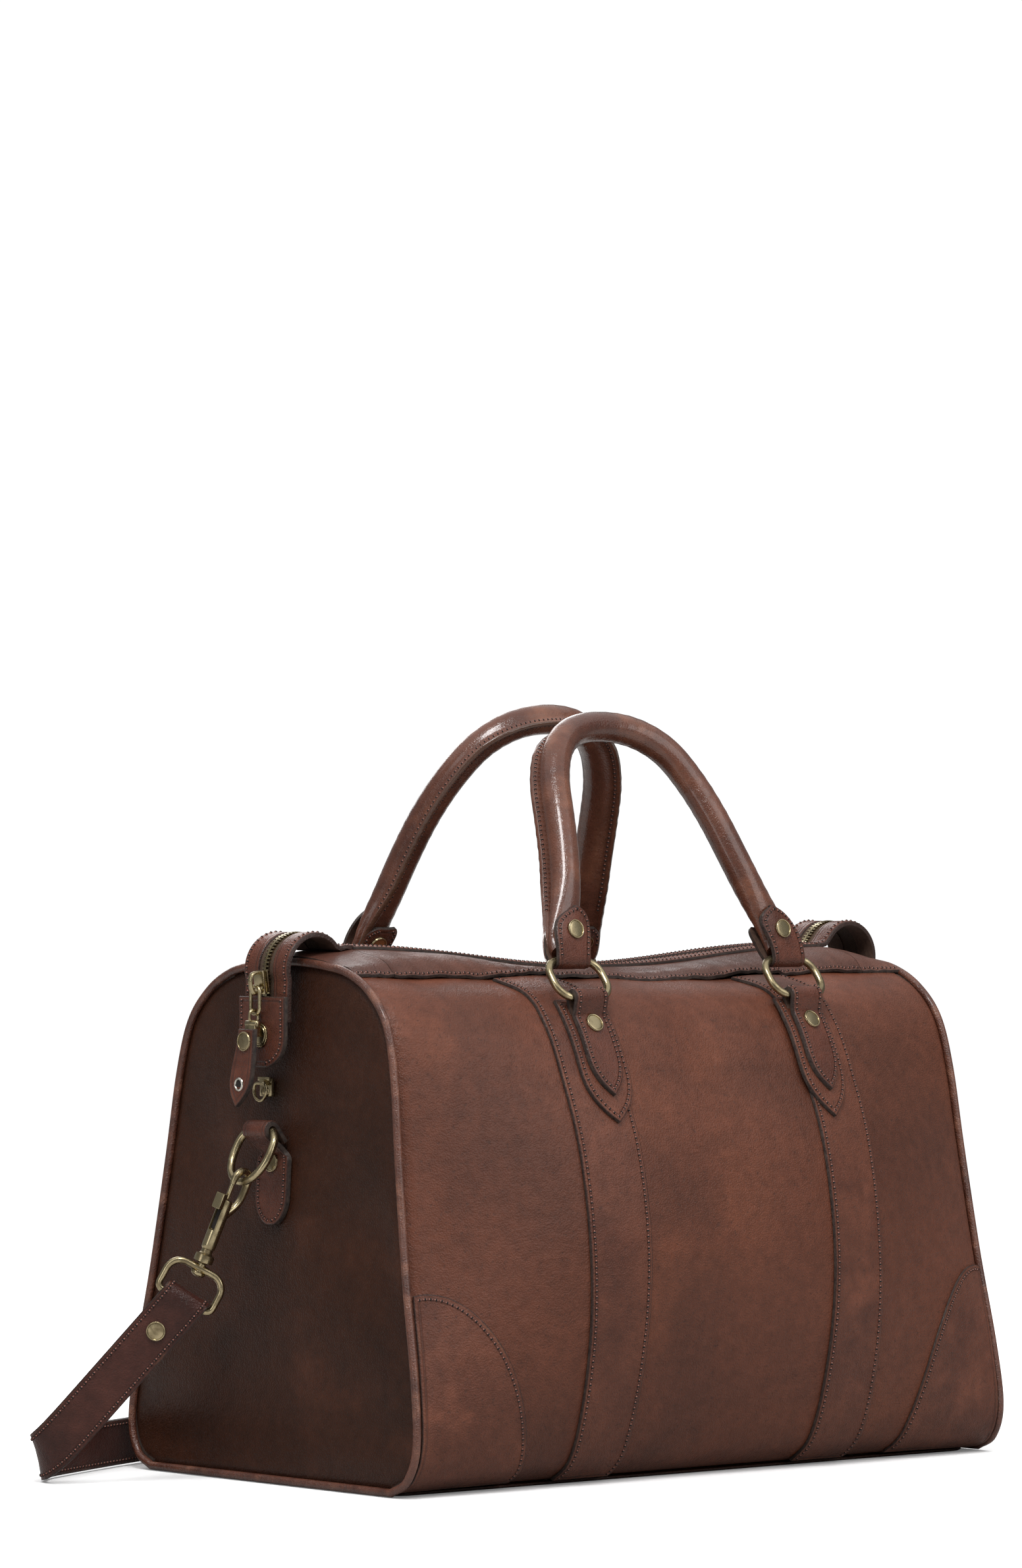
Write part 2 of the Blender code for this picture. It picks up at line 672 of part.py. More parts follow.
def make_end_rings():
    for end, sign in (("left", -1), ("right", 1)):
        bar = Vector((sign * END_BAR.x, 0, END_BAR.z))
        bottom = Vector((sign * RING_BOTTOM.x, 0, RING_BOTTOM.z))
        drop = bottom - bar
        half = 0.0178
        loop = [bar + Vector((0, y, 0)) for y in (-half + 0.004, 0, half - 0.004)]
        loop += [bar + Vector((0, half, 0)) + drop * 0.14]
        for step in range(0, 9):
            a = math.radians(22.5 * step)
            loop.append(bar + drop * (0.45 + 0.55 * math.sin(a)) + Vector((0, half * math.cos(a), 0)))
        loop += [bar + Vector((0, -half, 0)) + drop * 0.14]
        piece_from(f"{end}_end_ring", wire("end_ring", loop, RING_WIRE, closed=True), "brass", bar)
        make_end_chape(end, sign, bar)


def make_end_chape(end, sign, bar):
    """The leather tab on the end panel that holds the ring's straight bar."""
    rows = []
    low_z, high_z = 0.160, 0.2160
    for z in steps(high_z, low_z, 9):
        fraction = max(0.180 - z, 0) / 0.020
        half = 0.0160 * math.sqrt(max(1 - 0.93 * fraction ** 2, 0.05))
        rows.append([Vector((sign * (end_x(z) + 0.0070), y, z)) for y in (-half, 0, half)])
    item = sheet(f"{end}_end_chape", rows if sign > 0 else rows[::-1], "leather", 0.0040, 0.0)
    top = Vector((sign * (end_x(0.208) + 0.0070), 0, 0.208))
    reach = bar - top
    across = Vector((0, 1, 0))
    up = reach.normalized()
    frame = Matrix((across, up.cross(across), up)).transposed().to_4x4()
    frame.translation = top
    half = 0.0115
    combine(item, box_bmesh((-half, -0.0035, 0), (half, 0.0035, reach.length), frame), "UNION")
    combine(item, rod_bmesh(bar, (0, 1, 0), 0.0050, 2 * half), "UNION")
    combine(item, rod_bmesh(bar, (0, 1, 0), 0.0033, 0.05), "DIFFERENCE")


def make_hooks():
    for end, sign in (("left", -1), ("right", 1)):
        origin, down, out, face, bars = strap_frame(sign)
        axis = origin + out * BOW_RADIUS
        shift = Matrix.Translation(-axis)

        def at(along, outward):
            return origin + down * along + out * outward

        bow = [at(0.0260, BOW_RADIUS), at(0.0215, 0.3 * BOW_RADIUS), at(0.0145, -0.6 * BOW_RADIUS),
               at(0.0070, -BOW_RADIUS)]
        for angle in steps(-90, 90, 8):
            a = math.radians(angle)
            bow.append(at(-BOW_RADIUS * math.cos(a), BOW_RADIUS * math.sin(a)))
        bow.append(at(0.0022, BOW_RADIUS))
        item = piece_from(f"{end}_hook", wire("bow", bow, HOOK_WIRE), "brass", axis)
        middle = (BARREL_TOP + SHANK_END) / 2
        barrel = rod_bmesh(axis + down * middle, down, BARREL_RADIUS, SHANK_END - BARREL_TOP)
        collar = rod_bmesh(axis + down * (SHANK_END - 0.003), down, 0.0056, 0.006)
        side = down.cross(out).normalized()
        frame = Matrix((side, down, out)).transposed().to_4x4()
        frame.translation = axis
        channel = box_bmesh((-0.0022, 0.0110, -0.0021), (0.0022, 0.0225, 0.0080), frame)
        for shape, operation in ((barrel, "UNION"), (collar, "UNION"), (channel, "DIFFERENCE")):
            shape.transform(shift)
            combine(item, shape, operation).modifiers[-1].object.location = axis
        make_trigger(f"{end}_trigger", frame, axis + down * 0.0075, down)
        make_swivel_frame(f"{end}_swivel_frame", sign)


def make_trigger(name, frame, pin_middle, down):
    """The thumb piece and pin that slide down the hook's barrel and open the bow."""
    block = box_bmesh((-0.0032, 0.0100, 0.0046), (0.0032, 0.0230, 0.0076), frame)
    item = piece_from(name, block, "brass")
    combine(item, box_bmesh((-0.0016, 0.0100, -0.0010), (0.0016, 0.0126, 0.0060), frame), "UNION")
    combine(item, rod_bmesh(pin_middle, down, 0.0015, 0.0090, 8), "UNION")


def frame_axes(sign):
    """Middle of the frame's strap bar, with the axes down the frame and along the bar."""
    origin, down, out, face, _ = strap_frame(sign)
    away = Vector((sign * AWAY.x, AWAY.y, 0))
    lean = away * math.sin(FRAME_SLANT) + Vector((0, 0, -math.cos(FRAME_SLANT)))
    bars = (lean.cross(face) * -sign).normalized()
    eye = origin + out * BOW_RADIUS + down * FRAME_TOP + lean * (FRAME_BOTTOM - FRAME_TOP)
    return eye, lean, face, bars


def make_swivel_frame(name, sign):
    """The frame that turns on the hook and carries the strap: round above, square below."""
    eye, lean, _, bars = frame_axes(sign)
    height = FRAME_BOTTOM - FRAME_TOP
    upper = [(w, h) for w, h in rounded_loop(FRAME_WIDTH, height, 0.0080) if h > 0]
    lower = [(w, h) for w, h in rounded_loop(FRAME_WIDTH, height, 0.0032) if h < 0]
    loop = [eye - lean * (height / 2 + h) + bars * w for w, h in upper + lower]
    piece_from(name, wire(name, loop, HOOK_WIRE, closed=True), "brass", eye)


def strap_rows(sign):
    """Middle line and width direction of the strap, from its folded end to the middle behind the bag."""
    eye, lean, face, bars = frame_axes(sign)
    wide = -bars
    wrap = HOOK_WIRE + STRAP_THICKNESS / 2 + 0.0009
    layer = STRAP_THICKNESS / 2 + 0.0003
    line = [(eye + lean * 0.048 - face * layer, wide), (eye + lean * 0.017 - face * layer, wide)]
    for angle in steps(-90, 90, 6):
        a = math.radians(angle)
        line.append((eye - lean * wrap * math.cos(a) + face * wrap * math.sin(a), wide))
    line.append((eye + lean * 0.017 + face * layer, wide))
    floor = [Vector((sign * x, y, z)) for x, y, z in STRAP_FLOOR]
    route = smooth_route([eye + lean * 0.034 + face * layer, eye + lean * 0.056 + face * layer, *floor], 3)
    up = Vector((0, 0, 1))
    for i, point in enumerate(route[:-1]):
        run = (route[i + 1] - route[max(i - 1, 0)]).normalized()
        slant = (run.cross(face) * sign).normalized()
        share = min(max((i - 5) / 4, 0), 1)
        line.append((point, slant.lerp(up, share).normalized()))
    return line


def make_strap():
    left = strap_rows(-1)
    right = strap_rows(1)
    middle = Vector(STRAP_FLOOR[-1])
    up = Vector((0, 0, 1))
    line = [(p, w if w.z > 0 else -w) for p, w in left] + [(middle, up)]
    line += [(p, w if w.z > 0 else -w) for p, w in right[::-1]]
    half = STRAP_WIDTH / 2
    rows = [[point - wide * half, point + wide * half] for point, wide in line]
    sheet("shoulder_strap", rows, "leather", STRAP_THICKNESS, 0.0)


def main():
    make_base()
    make_sides()
    make_ends()
    make_piping()
    make_lining()
    make_pocket()
    make_bands()
    make_corner_patches()
    make_mouth()
    make_top_ends()
    make_tongues()
    make_slider()
    make_pull()
    make_lock_staple()
    make_chapes()
    make_handles()
    make_end_rings()
    make_hooks()
    make_strap()


main()
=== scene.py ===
"""Finished looks of a leather weekender bag: rolled handles, zip mouth with snapped tongues, clip-on strap.

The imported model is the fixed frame. X runs along the bag, the front is -Y, Z is up, and lengths are in metres.
"""

import logging
import math
from collections.abc import Callable, Sequence
from dataclasses import dataclass, field
from enum import Enum

import bmesh
import bpy
import numpy as np
from mathutils import Matrix, Vector


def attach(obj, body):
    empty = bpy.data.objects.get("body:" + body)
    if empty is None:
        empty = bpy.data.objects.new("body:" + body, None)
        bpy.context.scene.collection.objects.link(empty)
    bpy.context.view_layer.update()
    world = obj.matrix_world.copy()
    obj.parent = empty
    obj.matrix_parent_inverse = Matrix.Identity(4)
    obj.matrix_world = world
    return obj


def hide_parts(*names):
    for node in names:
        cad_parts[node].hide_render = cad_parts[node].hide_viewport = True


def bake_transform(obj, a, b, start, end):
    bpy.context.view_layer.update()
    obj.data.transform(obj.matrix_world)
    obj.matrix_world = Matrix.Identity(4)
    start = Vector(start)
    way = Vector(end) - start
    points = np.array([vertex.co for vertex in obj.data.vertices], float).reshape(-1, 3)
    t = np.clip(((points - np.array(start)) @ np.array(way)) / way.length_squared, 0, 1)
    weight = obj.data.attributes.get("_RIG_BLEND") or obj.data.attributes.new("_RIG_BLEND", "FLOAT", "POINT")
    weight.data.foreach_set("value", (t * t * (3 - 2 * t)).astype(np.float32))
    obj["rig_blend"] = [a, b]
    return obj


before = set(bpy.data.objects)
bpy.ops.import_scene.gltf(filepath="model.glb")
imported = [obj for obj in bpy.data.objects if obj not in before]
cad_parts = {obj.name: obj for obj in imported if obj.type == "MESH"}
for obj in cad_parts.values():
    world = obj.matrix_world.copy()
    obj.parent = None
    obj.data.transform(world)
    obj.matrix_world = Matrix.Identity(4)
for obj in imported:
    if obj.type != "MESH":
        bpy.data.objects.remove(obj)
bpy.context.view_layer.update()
LOG = logging.getLogger("weekender")

Socket = bpy.types.NodeSocket
Placer = Callable[[np.ndarray, np.ndarray, np.ndarray], np.ndarray]
Edge = Callable[[np.ndarray], np.ndarray]

UP = np.array((0.0, 0.0, 1.0))
ACROSS = np.array((0.0, 1.0, 0.0))
BAND_X = 0.101
CHAPE_X = 0.092
FAR_FROM_RIM = 0.02
ROUNDING = np.array((0, 0.3, 1.0, 2.2))


# ---------------------------------------------------------------- curves and surfaces


def catmull(points: Sequence[Sequence[float]], t: np.ndarray) -> np.ndarray:
    """Reads a smooth curve through evenly spaced points.

    Args:
        points: The points that the curve passes through.
        t: Places along it, from 0 to 1.

    Returns:
        One row of coordinates for each place.
    """
    known = np.asarray(points, float)
    ends = np.vstack([2 * known[0] - known[1], known, 2 * known[-1] - known[-2]])
    place = np.clip(np.asarray(t, float), 0, 0.999999) * (len(known) - 1)
    i = place.astype(int)
    f = (place - i)[..., None]
    a, b, c, d = ends[i], ends[i + 1], ends[i + 2], ends[i + 3]
    return 0.5 * (2 * b + (c - a) * f + (2 * a - 5 * b + 4 * c - d) * f**2 + (3 * b - a - 3 * c + d) * f**3)


def smooth_route(points: Sequence[Sequence[float]], count: int) -> np.ndarray:
    """Gives count + 1 points along a smooth curve through the given ones."""
    return catmull(points, np.linspace(0, 1, count + 1))


def unit(vectors: np.ndarray) -> np.ndarray:
    """Scales each vector to length 1."""
    return vectors / np.maximum(np.linalg.norm(vectors, axis=-1, keepdims=True), 1e-12)


def smoothstep(value: np.ndarray | float) -> np.ndarray:
    """Eases from 0 to 1 as the value does."""
    x = np.clip(value, 0, 1)
    return x * x * (3 - 2 * x)


def softened(rows: np.ndarray, passes: int, closed: bool = False) -> np.ndarray:
    """Evens out a row of points, keeping its ends unless it is closed.

    Args:
        rows: One row for each point.
        passes: How often the averaging is repeated.
        closed: Whether the last point is followed by the first.

    Returns:
        The evened points.
    """
    out = np.array(rows, float)
    for _ in range(passes):
        near = (np.roll(out, 1, axis=0) + np.roll(out, -1, axis=0)) / 4 + out / 2
        if not closed:
            near[0], near[-1] = out[0], out[-1]
        out = near
    return out


def distances(line: np.ndarray) -> np.ndarray:
    """Gives the distance of each point along a line."""
    return np.concatenate([[0], np.cumsum(np.linalg.norm(np.diff(line, axis=0), axis=1))])


def read_rows(places: np.ndarray, arc: np.ndarray, rows: np.ndarray) -> np.ndarray:
    """Reads rows of three numbers at distances along a line."""
    return np.stack([np.interp(places, arc, rows[:, k]) for k in range(3)], axis=-1)


@dataclass(frozen=True)
class Shell:
    """The outside of the bag's body, from the base seam up to the top seam on the front and the back."""

    half_length: float = 0.250
    lean: float = 1.55 / 30
    bulge_power: float = 2.6
    end_side: tuple = ((0.120, 0.003), (0.1345, 0.011), (0.1420, 0.032), (0.1375, 0.072), (0.1255, 0.132),
                       (0.1145, 0.200), (0.1070, 0.252), (0.0975, 0.285), (0.0800, 0.305), (0.058, 0.3165))
    middle_side: tuple = ((0.120, 0.003), (0.1390, 0.020), (0.1530, 0.058), (0.1630, 0.108), (0.1640, 0.156),
                          (0.1545, 0.208), (0.1370, 0.250), (0.1215, 0.281), (0.1020, 0.302), (0.062, 0.3120))

    def end_x(self, z: np.ndarray | float) -> np.ndarray:
        """Gives the distance of the end panels from the middle at a height."""
        return self.half_length - self.lean * np.asarray(z)

    def raw(self, u: np.ndarray, t: np.ndarray, side: int) -> np.ndarray:
        """Gives points on the plain surface, u along the bag from -1 to 1 and t up it from 0 to 1."""
        u, t = np.broadcast_arrays(np.asarray(u, float), np.asarray(t, float))
        share = (1 - np.abs(u) ** self.bulge_power)[..., None]
        end, middle = catmull(self.end_side, t), catmull(self.middle_side, t)
        found = end + (middle - end) * share
        return np.stack([u * self.end_x(found[..., 1]), side * found[..., 0], found[..., 1]], axis=-1)

    def normal(self, u: np.ndarray, t: np.ndarray, side: int) -> np.ndarray:
        """Gives the outward direction of the surface at u and t."""
        step = 0.01
        along = self.raw(u, np.minimum(t + step, 1), side) - self.raw(u, np.maximum(t - step, 0), side)
        across = self.raw(np.minimum(u + step, 1), t, side) - self.raw(np.maximum(u - step, -1), t, side)
        found = unit(np.cross(across, along))
        return found * np.where(found[..., 1:2] * side < 0, -1, 1)

    def ease(self, u: np.ndarray, t: np.ndarray, side: int) -> np.ndarray:
        """Gives the gentle rise and fall of the soft panels, which everything sewn to them follows."""
        flank = np.sin(6.1 * u + 4.2 * t + side) * np.sin(7.4 * t - 1.3 * u)
        folds = np.sin(23 * u + 5 * np.sin(3.1 * t + side)) * smoothstep((t - 0.55) / 0.3)
        return 0.0011 * flank + 0.0005 * folds

    def at(self, u: np.ndarray, t: np.ndarray, lift: np.ndarray | float, side: int) -> np.ndarray:
        """Gives points at a height above the soft surface.

        Args:
            u: Places along the bag, from -1 to 1.
            t: Places up the panel, from 0 to 1.
            lift: Height above the surface.
            side: -1 for the front and 1 for the back.

        Returns:
            The points.
        """
        u, t = np.broadcast_arrays(np.asarray(u, float), np.asarray(t, float))
        rise = np.asarray(lift) + self.ease(u, t, side) * smoothstep((1 - np.abs(u)) * 12) * smoothstep(t * 8)
        return self.raw(u, t, side) + self.normal(u, t, side) * rise[..., None]

    def at_x(self, x: np.ndarray, t: np.ndarray, lift: np.ndarray | float, side: int) -> np.ndarray:
        """Gives points above the surface where its distance along the bag is x."""
        x, t = np.broadcast_arrays(np.asarray(x, float), np.asarray(t, float))
        u = x / self.end_x(catmull(self.middle_side, t)[..., 1])
        for _ in range(2):
            u = np.clip(x / self.end_x(self.raw(u, t, side)[..., 2]), -1, 1)
        return self.at(u, t, lift, side)

    def arc_table(self, x: float, side: int) -> tuple[np.ndarray, np.ndarray]:
        """Gives distances up the panel at x, and the t of each."""
        t = np.linspace(0, 1, 240)
        line = self.at_x(np.full_like(t, x), t, 0, side)
        arc = distances(line)
        return arc, t


SHELL = Shell()


@dataclass(frozen=True)
class Laid:
    """Places leather laid on the front or back, across from a middle x and up from the base seam."""

    x: float
    side: int

    def __call__(self, a: np.ndarray, b: np.ndarray, lift: np.ndarray) -> np.ndarray:
        """Gives the point at a across and b up, lifted off the panel."""
        arc, t = SHELL.arc_table(self.x, self.side)
        return SHELL.at_x(self.x + a, np.interp(b, arc, t), lift, self.side)

    def reach(self, t: float) -> float:
        """Gives the distance up the panel at t."""
        arc, table = SHELL.arc_table(self.x, self.side)
        return float(np.interp(t, table, arc))


@dataclass(frozen=True)
class Ribbon:
    """Places a strip that follows a line in space: b along the line, a across it, lift off its face."""

    line: np.ndarray
    wide: np.ndarray
    out: np.ndarray

    @property
    def arc(self) -> np.ndarray:
        """Gives the distance of each point along the line."""
        return distances(self.line)

    @property
    def length(self) -> float:
        """Gives the length of the line."""
        return float(self.arc[-1])

    def read(self, table: np.ndarray, b: np.ndarray) -> np.ndarray:
        """Reads a table of vectors at distances along the line."""
        return read_rows(b, self.arc, table)

    def __call__(self, a: np.ndarray, b: np.ndarray, lift: np.ndarray) -> np.ndarray:
        """Gives the point at a across and b along, lifted off the face."""
        a, b, lift = np.broadcast_arrays(np.asarray(a, float), np.asarray(b, float), np.asarray(lift, float))
        wide, out = unit(self.read(self.wide, b)), unit(self.read(self.out, b))
        return self.read(self.line, b) + wide * a[..., None] + out * lift[..., None]


def ribbon_in_plane(points: Sequence[tuple[float, float]], origin: np.ndarray, along: np.ndarray, out: np.ndarray,
                    wide: np.ndarray, count: int = 60, drift: np.ndarray | None = None) -> Ribbon:
    """Makes a ribbon whose line lies in one plane.

    Args:
        points: Places of the line as distances along and out.
        origin: Where both distances are nought.
        along: Direction of the first distance.
        out: Direction of the second distance.
        wide: Direction across the ribbon.
        count: How many steps the line is read in.
        drift: Sideways shift of each given point, along wide.

    Returns:
        The ribbon, whose face looks to the left of its line.
    """
    flat = smooth_route(points, count)
    run = unit(np.gradient(flat, axis=0))
    line = origin + flat[:, :1] * along + flat[:, 1:] * out
    if drift is not None:
        line = line + smooth_route([[d] for d in drift], count) * wide
    face = -run[:, 1:] * along + run[:, :1] * out
    return Ribbon(line, np.tile(wide, (len(line), 1)), face)


# ---------------------------------------------------------------- meshes


def clean_object(name: str, bm: bmesh.types.BMesh, finishes: Sequence[bpy.types.Material],
                 sharp: float = 50) -> bpy.types.Object:
    """Makes an object from a bmesh, closed, facing out and smooth.

    Args:
        name: The piece's name.
        bm: Its mesh, which is used up.
        finishes: Its materials, in the order of the faces' indices.
        sharp: Edges bent by more degrees than this stay crisp.

    Returns:
        The object, linked to the scene.
    """
    bmesh.ops.remove_doubles(bm, verts=bm.verts, dist=0.000002)
    bmesh.ops.dissolve_degenerate(bm, edges=bm.edges, dist=0.0000005)
    bmesh.ops.recalc_face_normals(bm, faces=bm.faces)
    if "rim" not in bm.verts.layers.float:
        layer = bm.verts.layers.float.new("rim")
        for vert in bm.verts:
            vert[layer] = FAR_FROM_RIM
    mesh = bpy.data.meshes.new(name)
    bm.to_mesh(mesh)
    bm.free()
    mesh.shade_smooth()
    mesh.set_sharp_from_angle(angle=math.radians(sharp))
    for finish in finishes:
        mesh.materials.append(finish)
    piece = bpy.data.objects.new(name, mesh)
    bpy.context.scene.collection.objects.link(piece)
    return piece


def slab(outer: np.ndarray, inner: np.ndarray, rim: np.ndarray | None = None,
         flat: np.ndarray | None = None) -> bmesh.types.BMesh:
    """Builds a closed sheet between two grids of points.

    Args:
        outer: The face's points, as rows and columns.
        inner: The back's points, in the same order.
        rim: Distance of each point from the cut edge.
        flat: Places of the points on the piece when it lies flat, for its map.

    Returns:
        The mesh: face 0, cut edge 1 and back 2 as its material indices.
    """
    bm = bmesh.new()
    layer = bm.verts.layers.float.new("rim")
    rows, columns = outer.shape[:2]
    if rim is None:
        rim = np.full((rows, columns), FAR_FROM_RIM)
    sheets = []
    for grid in (outer, inner):
        made = [[bm.verts.new(point) for point in row] for row in grid]
        for i in range(rows):
            for j in range(columns):
                made[i][j][layer] = float(rim[i, j])
        sheets.append(made)
    face, back = sheets
    for i in range(rows - 1):
        for j in range(columns - 1):
            bm.faces.new((face[i][j], face[i][j + 1], face[i + 1][j + 1], face[i + 1][j]))
            lower = bm.faces.new((back[i][j], back[i + 1][j], back[i + 1][j + 1], back[i][j + 1]))
            lower.material_index = 2
    border = [(0, j) for j in range(columns)] + [(i, columns - 1) for i in range(1, rows)]
    border += [(rows - 1, j) for j in range(columns - 2, -1, -1)] + [(i, 0) for i in range(rows - 2, 0, -1)]
    for (i, j), (k, m) in zip(border, border[1:] + border[:1]):
        wall = bm.faces.new((face[i][j], back[i][j], back[k][m], face[k][m]))
        wall.material_index = 1
    if flat is not None:
        strip = bm.loops.layers.uv.new("strip")
        spots = {made[i][j]: flat[i, j] for made in sheets for i in range(rows) for j in range(columns)}
        for part in bm.faces:
            for corner in part.loops:
                corner[strip].uv = spots[corner.vert]
    return bm


def distance_to_outline(points: np.ndarray, outline: np.ndarray) -> np.ndarray:
    """Gives the distance of each flat point from a closed outline.

    Args:
        points: The points, as rows of two.
        outline: The outline's corners, as rows of two.

    Returns:
        One distance for each point.
    """
    a = outline
    edge = np.roll(outline, -1, axis=0) - a
    length = np.maximum((edge**2).sum(axis=1), 1e-18)
    nearest = np.full(len(points), np.inf)
    for start in range(0, len(points), 2000):
        part = points[start:start + 2000, None, :] - a[None]
        share = np.clip((part * edge).sum(axis=2) / length, 0, 1)
        gap = part - share[..., None] * edge
        nearest[start:start + 2000] = np.sqrt((gap**2).sum(axis=2)).min(axis=1)
    return nearest


def with_close_ends(low: float, high: float, spacing: float, radius: float) -> np.ndarray:
    """Gives places from low to high, close together at both ends where the edge is rounded."""
    near = ROUNDING * radius
    count = max(2, round((high - low - 5 * radius) / spacing))
    middle = np.linspace(low + near[-1], high - near[-1], count + 1)[1:-1]
    return np.concatenate([low + near, middle, high - near[::-1]])


def straight(value: float) -> Edge:
    """Gives an edge at one distance from the middle."""
    return lambda b: np.full_like(b, value)


@dataclass
class Cut:
    """A piece cut from leather: its outline as widths along its length, and how it lies in space."""

    name: str
    place: Placer
    low: Edge
    high: Edge
    start: float
    end: float
    thickness: float = 0.002
    lift: float = 0.0
    across: int = 10
    spacing: float = 0.004
    radius: float = 0.0006

    def outline(self, count: int = 160) -> np.ndarray:
        """Gives the closed outline as rows of across and along."""
        b = self.start + (self.end - self.start) * (0.5 - 0.5 * np.cos(np.linspace(0, math.pi, count)))
        left = np.stack([self.low(b), b], axis=1)
        right = np.stack([self.high(b), b], axis=1)[::-1]
        return np.concatenate([left, right])

    def build(self, finishes: Sequence[bpy.types.Material], open_ends: bool = False) -> bpy.types.Object:
        """Makes the piece, thick and with its upper edges rounded.

        Args:
            finishes: Materials of the face, the cut edge and the back.
            open_ends: Whether the two short ends run on into a seam and so aren't rounded.

        Returns:
            The object.
        """
        b = with_close_ends(self.start, self.end, self.spacing, self.radius)
        low, high = self.low(b), self.high(b)
        radius = np.minimum(self.radius, (high - low) / 6)
        share = np.linspace(0, 1, self.across + 1)[1:-1]
        left = low[:, None] + ROUNDING * radius[:, None]
        right = high[:, None] - ROUNDING[::-1] * radius[:, None]
        middle = left[:, -1:] + (right[:, :1] - left[:, -1:]) * share
        a = np.concatenate([left, middle, right], axis=1)
        rows = np.broadcast_to(b[:, None], a.shape)
        outline = self.outline()
        rim = distance_to_outline(np.stack([a.ravel(), rows.ravel()], axis=1), outline).reshape(a.shape)
        if open_ends:
            rim = np.minimum(a - low[:, None], high[:, None] - a)
        dip = self.radius - np.minimum(rim, self.radius)
        height = self.thickness - self.radius + np.sqrt(np.maximum(self.radius**2 - dip**2, 0))
        outer = self.place(a, rows, self.lift + height)
        inner = self.place(a, rows, np.full(a.shape, self.lift))
        return clean_object(self.name, slab(outer, inner, rim, np.stack([a, rows], axis=-1)), finishes)

    def seam(self, inset: float, keep: Callable[[np.ndarray, np.ndarray], np.ndarray] | None = None,
             under: bool = False) -> list[np.ndarray]:
        """Gives the lines of a stitch row inside the outline.

        Args:
            inset: Distance of the row from the cut edge.
            keep: Says which places, across and along, are sewn.
            under: Whether the row shows on the back.

        Returns:
            One row of points for each unbroken line.
        """
        outline = self.outline(400)
        run = np.roll(outline, -1, axis=0) - np.roll(outline, 1, axis=0)
        middle = outline.mean(axis=0)
        inward = unit(np.stack([-run[:, 1], run[:, 0]], axis=1))
        if ((middle - outline) * inward).sum() < 0:
            inward = -inward
        shifted = outline + inward * inset
        good = distance_to_outline(shifted, outline) > inset * 0.985
        good &= (shifted[:, 1] > self.start) & (shifted[:, 1] < self.end)
        if keep is not None:
            good &= keep(shifted[:, 0], shifted[:, 1])
        lift = self.lift if under else self.lift + self.thickness
        return [self.place(part[:, 0], part[:, 1], np.full(len(part), lift)) for part in unbroken(shifted, good)]


def unbroken(points: np.ndarray, good: np.ndarray) -> list[np.ndarray]:
    """Splits a closed row of points into the runs that are good."""
    if good.all():
        return [np.vstack([points, points[:1]])]
    start = int(np.argmin(good))
    points, good = np.roll(points, -start, axis=0), np.roll(good, -start)
    parts, run = [], []
    for point, fine in zip(points, good):
        far = run and np.linalg.norm(point - run[-1]) > 0.012
        if fine and not far:
            run.append(point)
            continue
        if len(run) > 3:
            parts.append(np.array(run))
        run = [point] if fine else []
    if len(run) > 3:
        parts.append(np.array(run))
    return parts


def transported(line: np.ndarray, closed: bool) -> tuple[np.ndarray, np.ndarray]:
    """Gives two directions square to a line that turn with it and don't twist.

    Args:
        line: The line's points.
        closed: Whether its last point is followed by the first.

    Returns:
        Both directions for every point.
    """
    if closed:
        run = unit(np.roll(line, -1, axis=0) - np.roll(line, 1, axis=0))
    else:
        run = unit(np.gradient(line, axis=0))
    side = np.cross(run[0], UP if abs(run[0][2]) < 0.9 else np.array((1.0, 0, 0)))
    sides = []
    for direction in run:
        side = side - direction * (side @ direction)
        side = side / np.linalg.norm(side)
        sides.append(side)
    sides = np.array(sides)
    if closed:
        last = sides[-1] - run[0] * (sides[-1] @ run[0])
        angle = math.atan2(float(np.cross(last, sides[0]) @ run[0]), float(last @ sides[0]))
        turn = np.linspace(0, angle, len(line), endpoint=False)[:, None]
        sides = sides * np.cos(turn) + np.cross(run, sides) * np.sin(turn)
    return sides, np.cross(run, sides)


def tube(line: np.ndarray, radius: float | np.ndarray, closed: bool = False, sides: int = 14) -> bmesh.types.BMesh:
    """Builds a round wire along a line, with domed ends if it is open.

    Args:
        line: The line's points.
        radius: Its radius, or one for each point.
        closed: Whether the line closes on itself.
        sides: How many sides the wire has.

    Returns:
        The mesh.
    """
    one, two = transported(line, closed)
    around = np.linspace(0, 2 * math.pi, sides, endpoint=False)
    radii = np.broadcast_to(np.asarray(radius, float), (len(line),))
    rings = line[:, None] + (one[:, None] * np.cos(around)[:, None] + two[:, None] * np.sin(around)[:, None]) \
        * radii[:, None, None]
    return skin(rings, closed)


def skin(rings: np.ndarray, closed: bool = False) -> bmesh.types.BMesh:
    """Builds a closed surface through rings of points."""
    bm = bmesh.new()
    made = [[bm.verts.new(point) for point in ring] for ring in rings]
    around = len(made[0])
    pairs = list(zip(made, made[1:])) + ([(made[-1], made[0])] if closed else [])
    for low, high in pairs:
        for j in range(around):
            k = (j + 1) % around
            bm.faces.new((low[j], low[k], high[k], high[j]))
    if not closed:
        bm.faces.new(made[0][::-1])
        bm.faces.new(made[-1])
    return bm


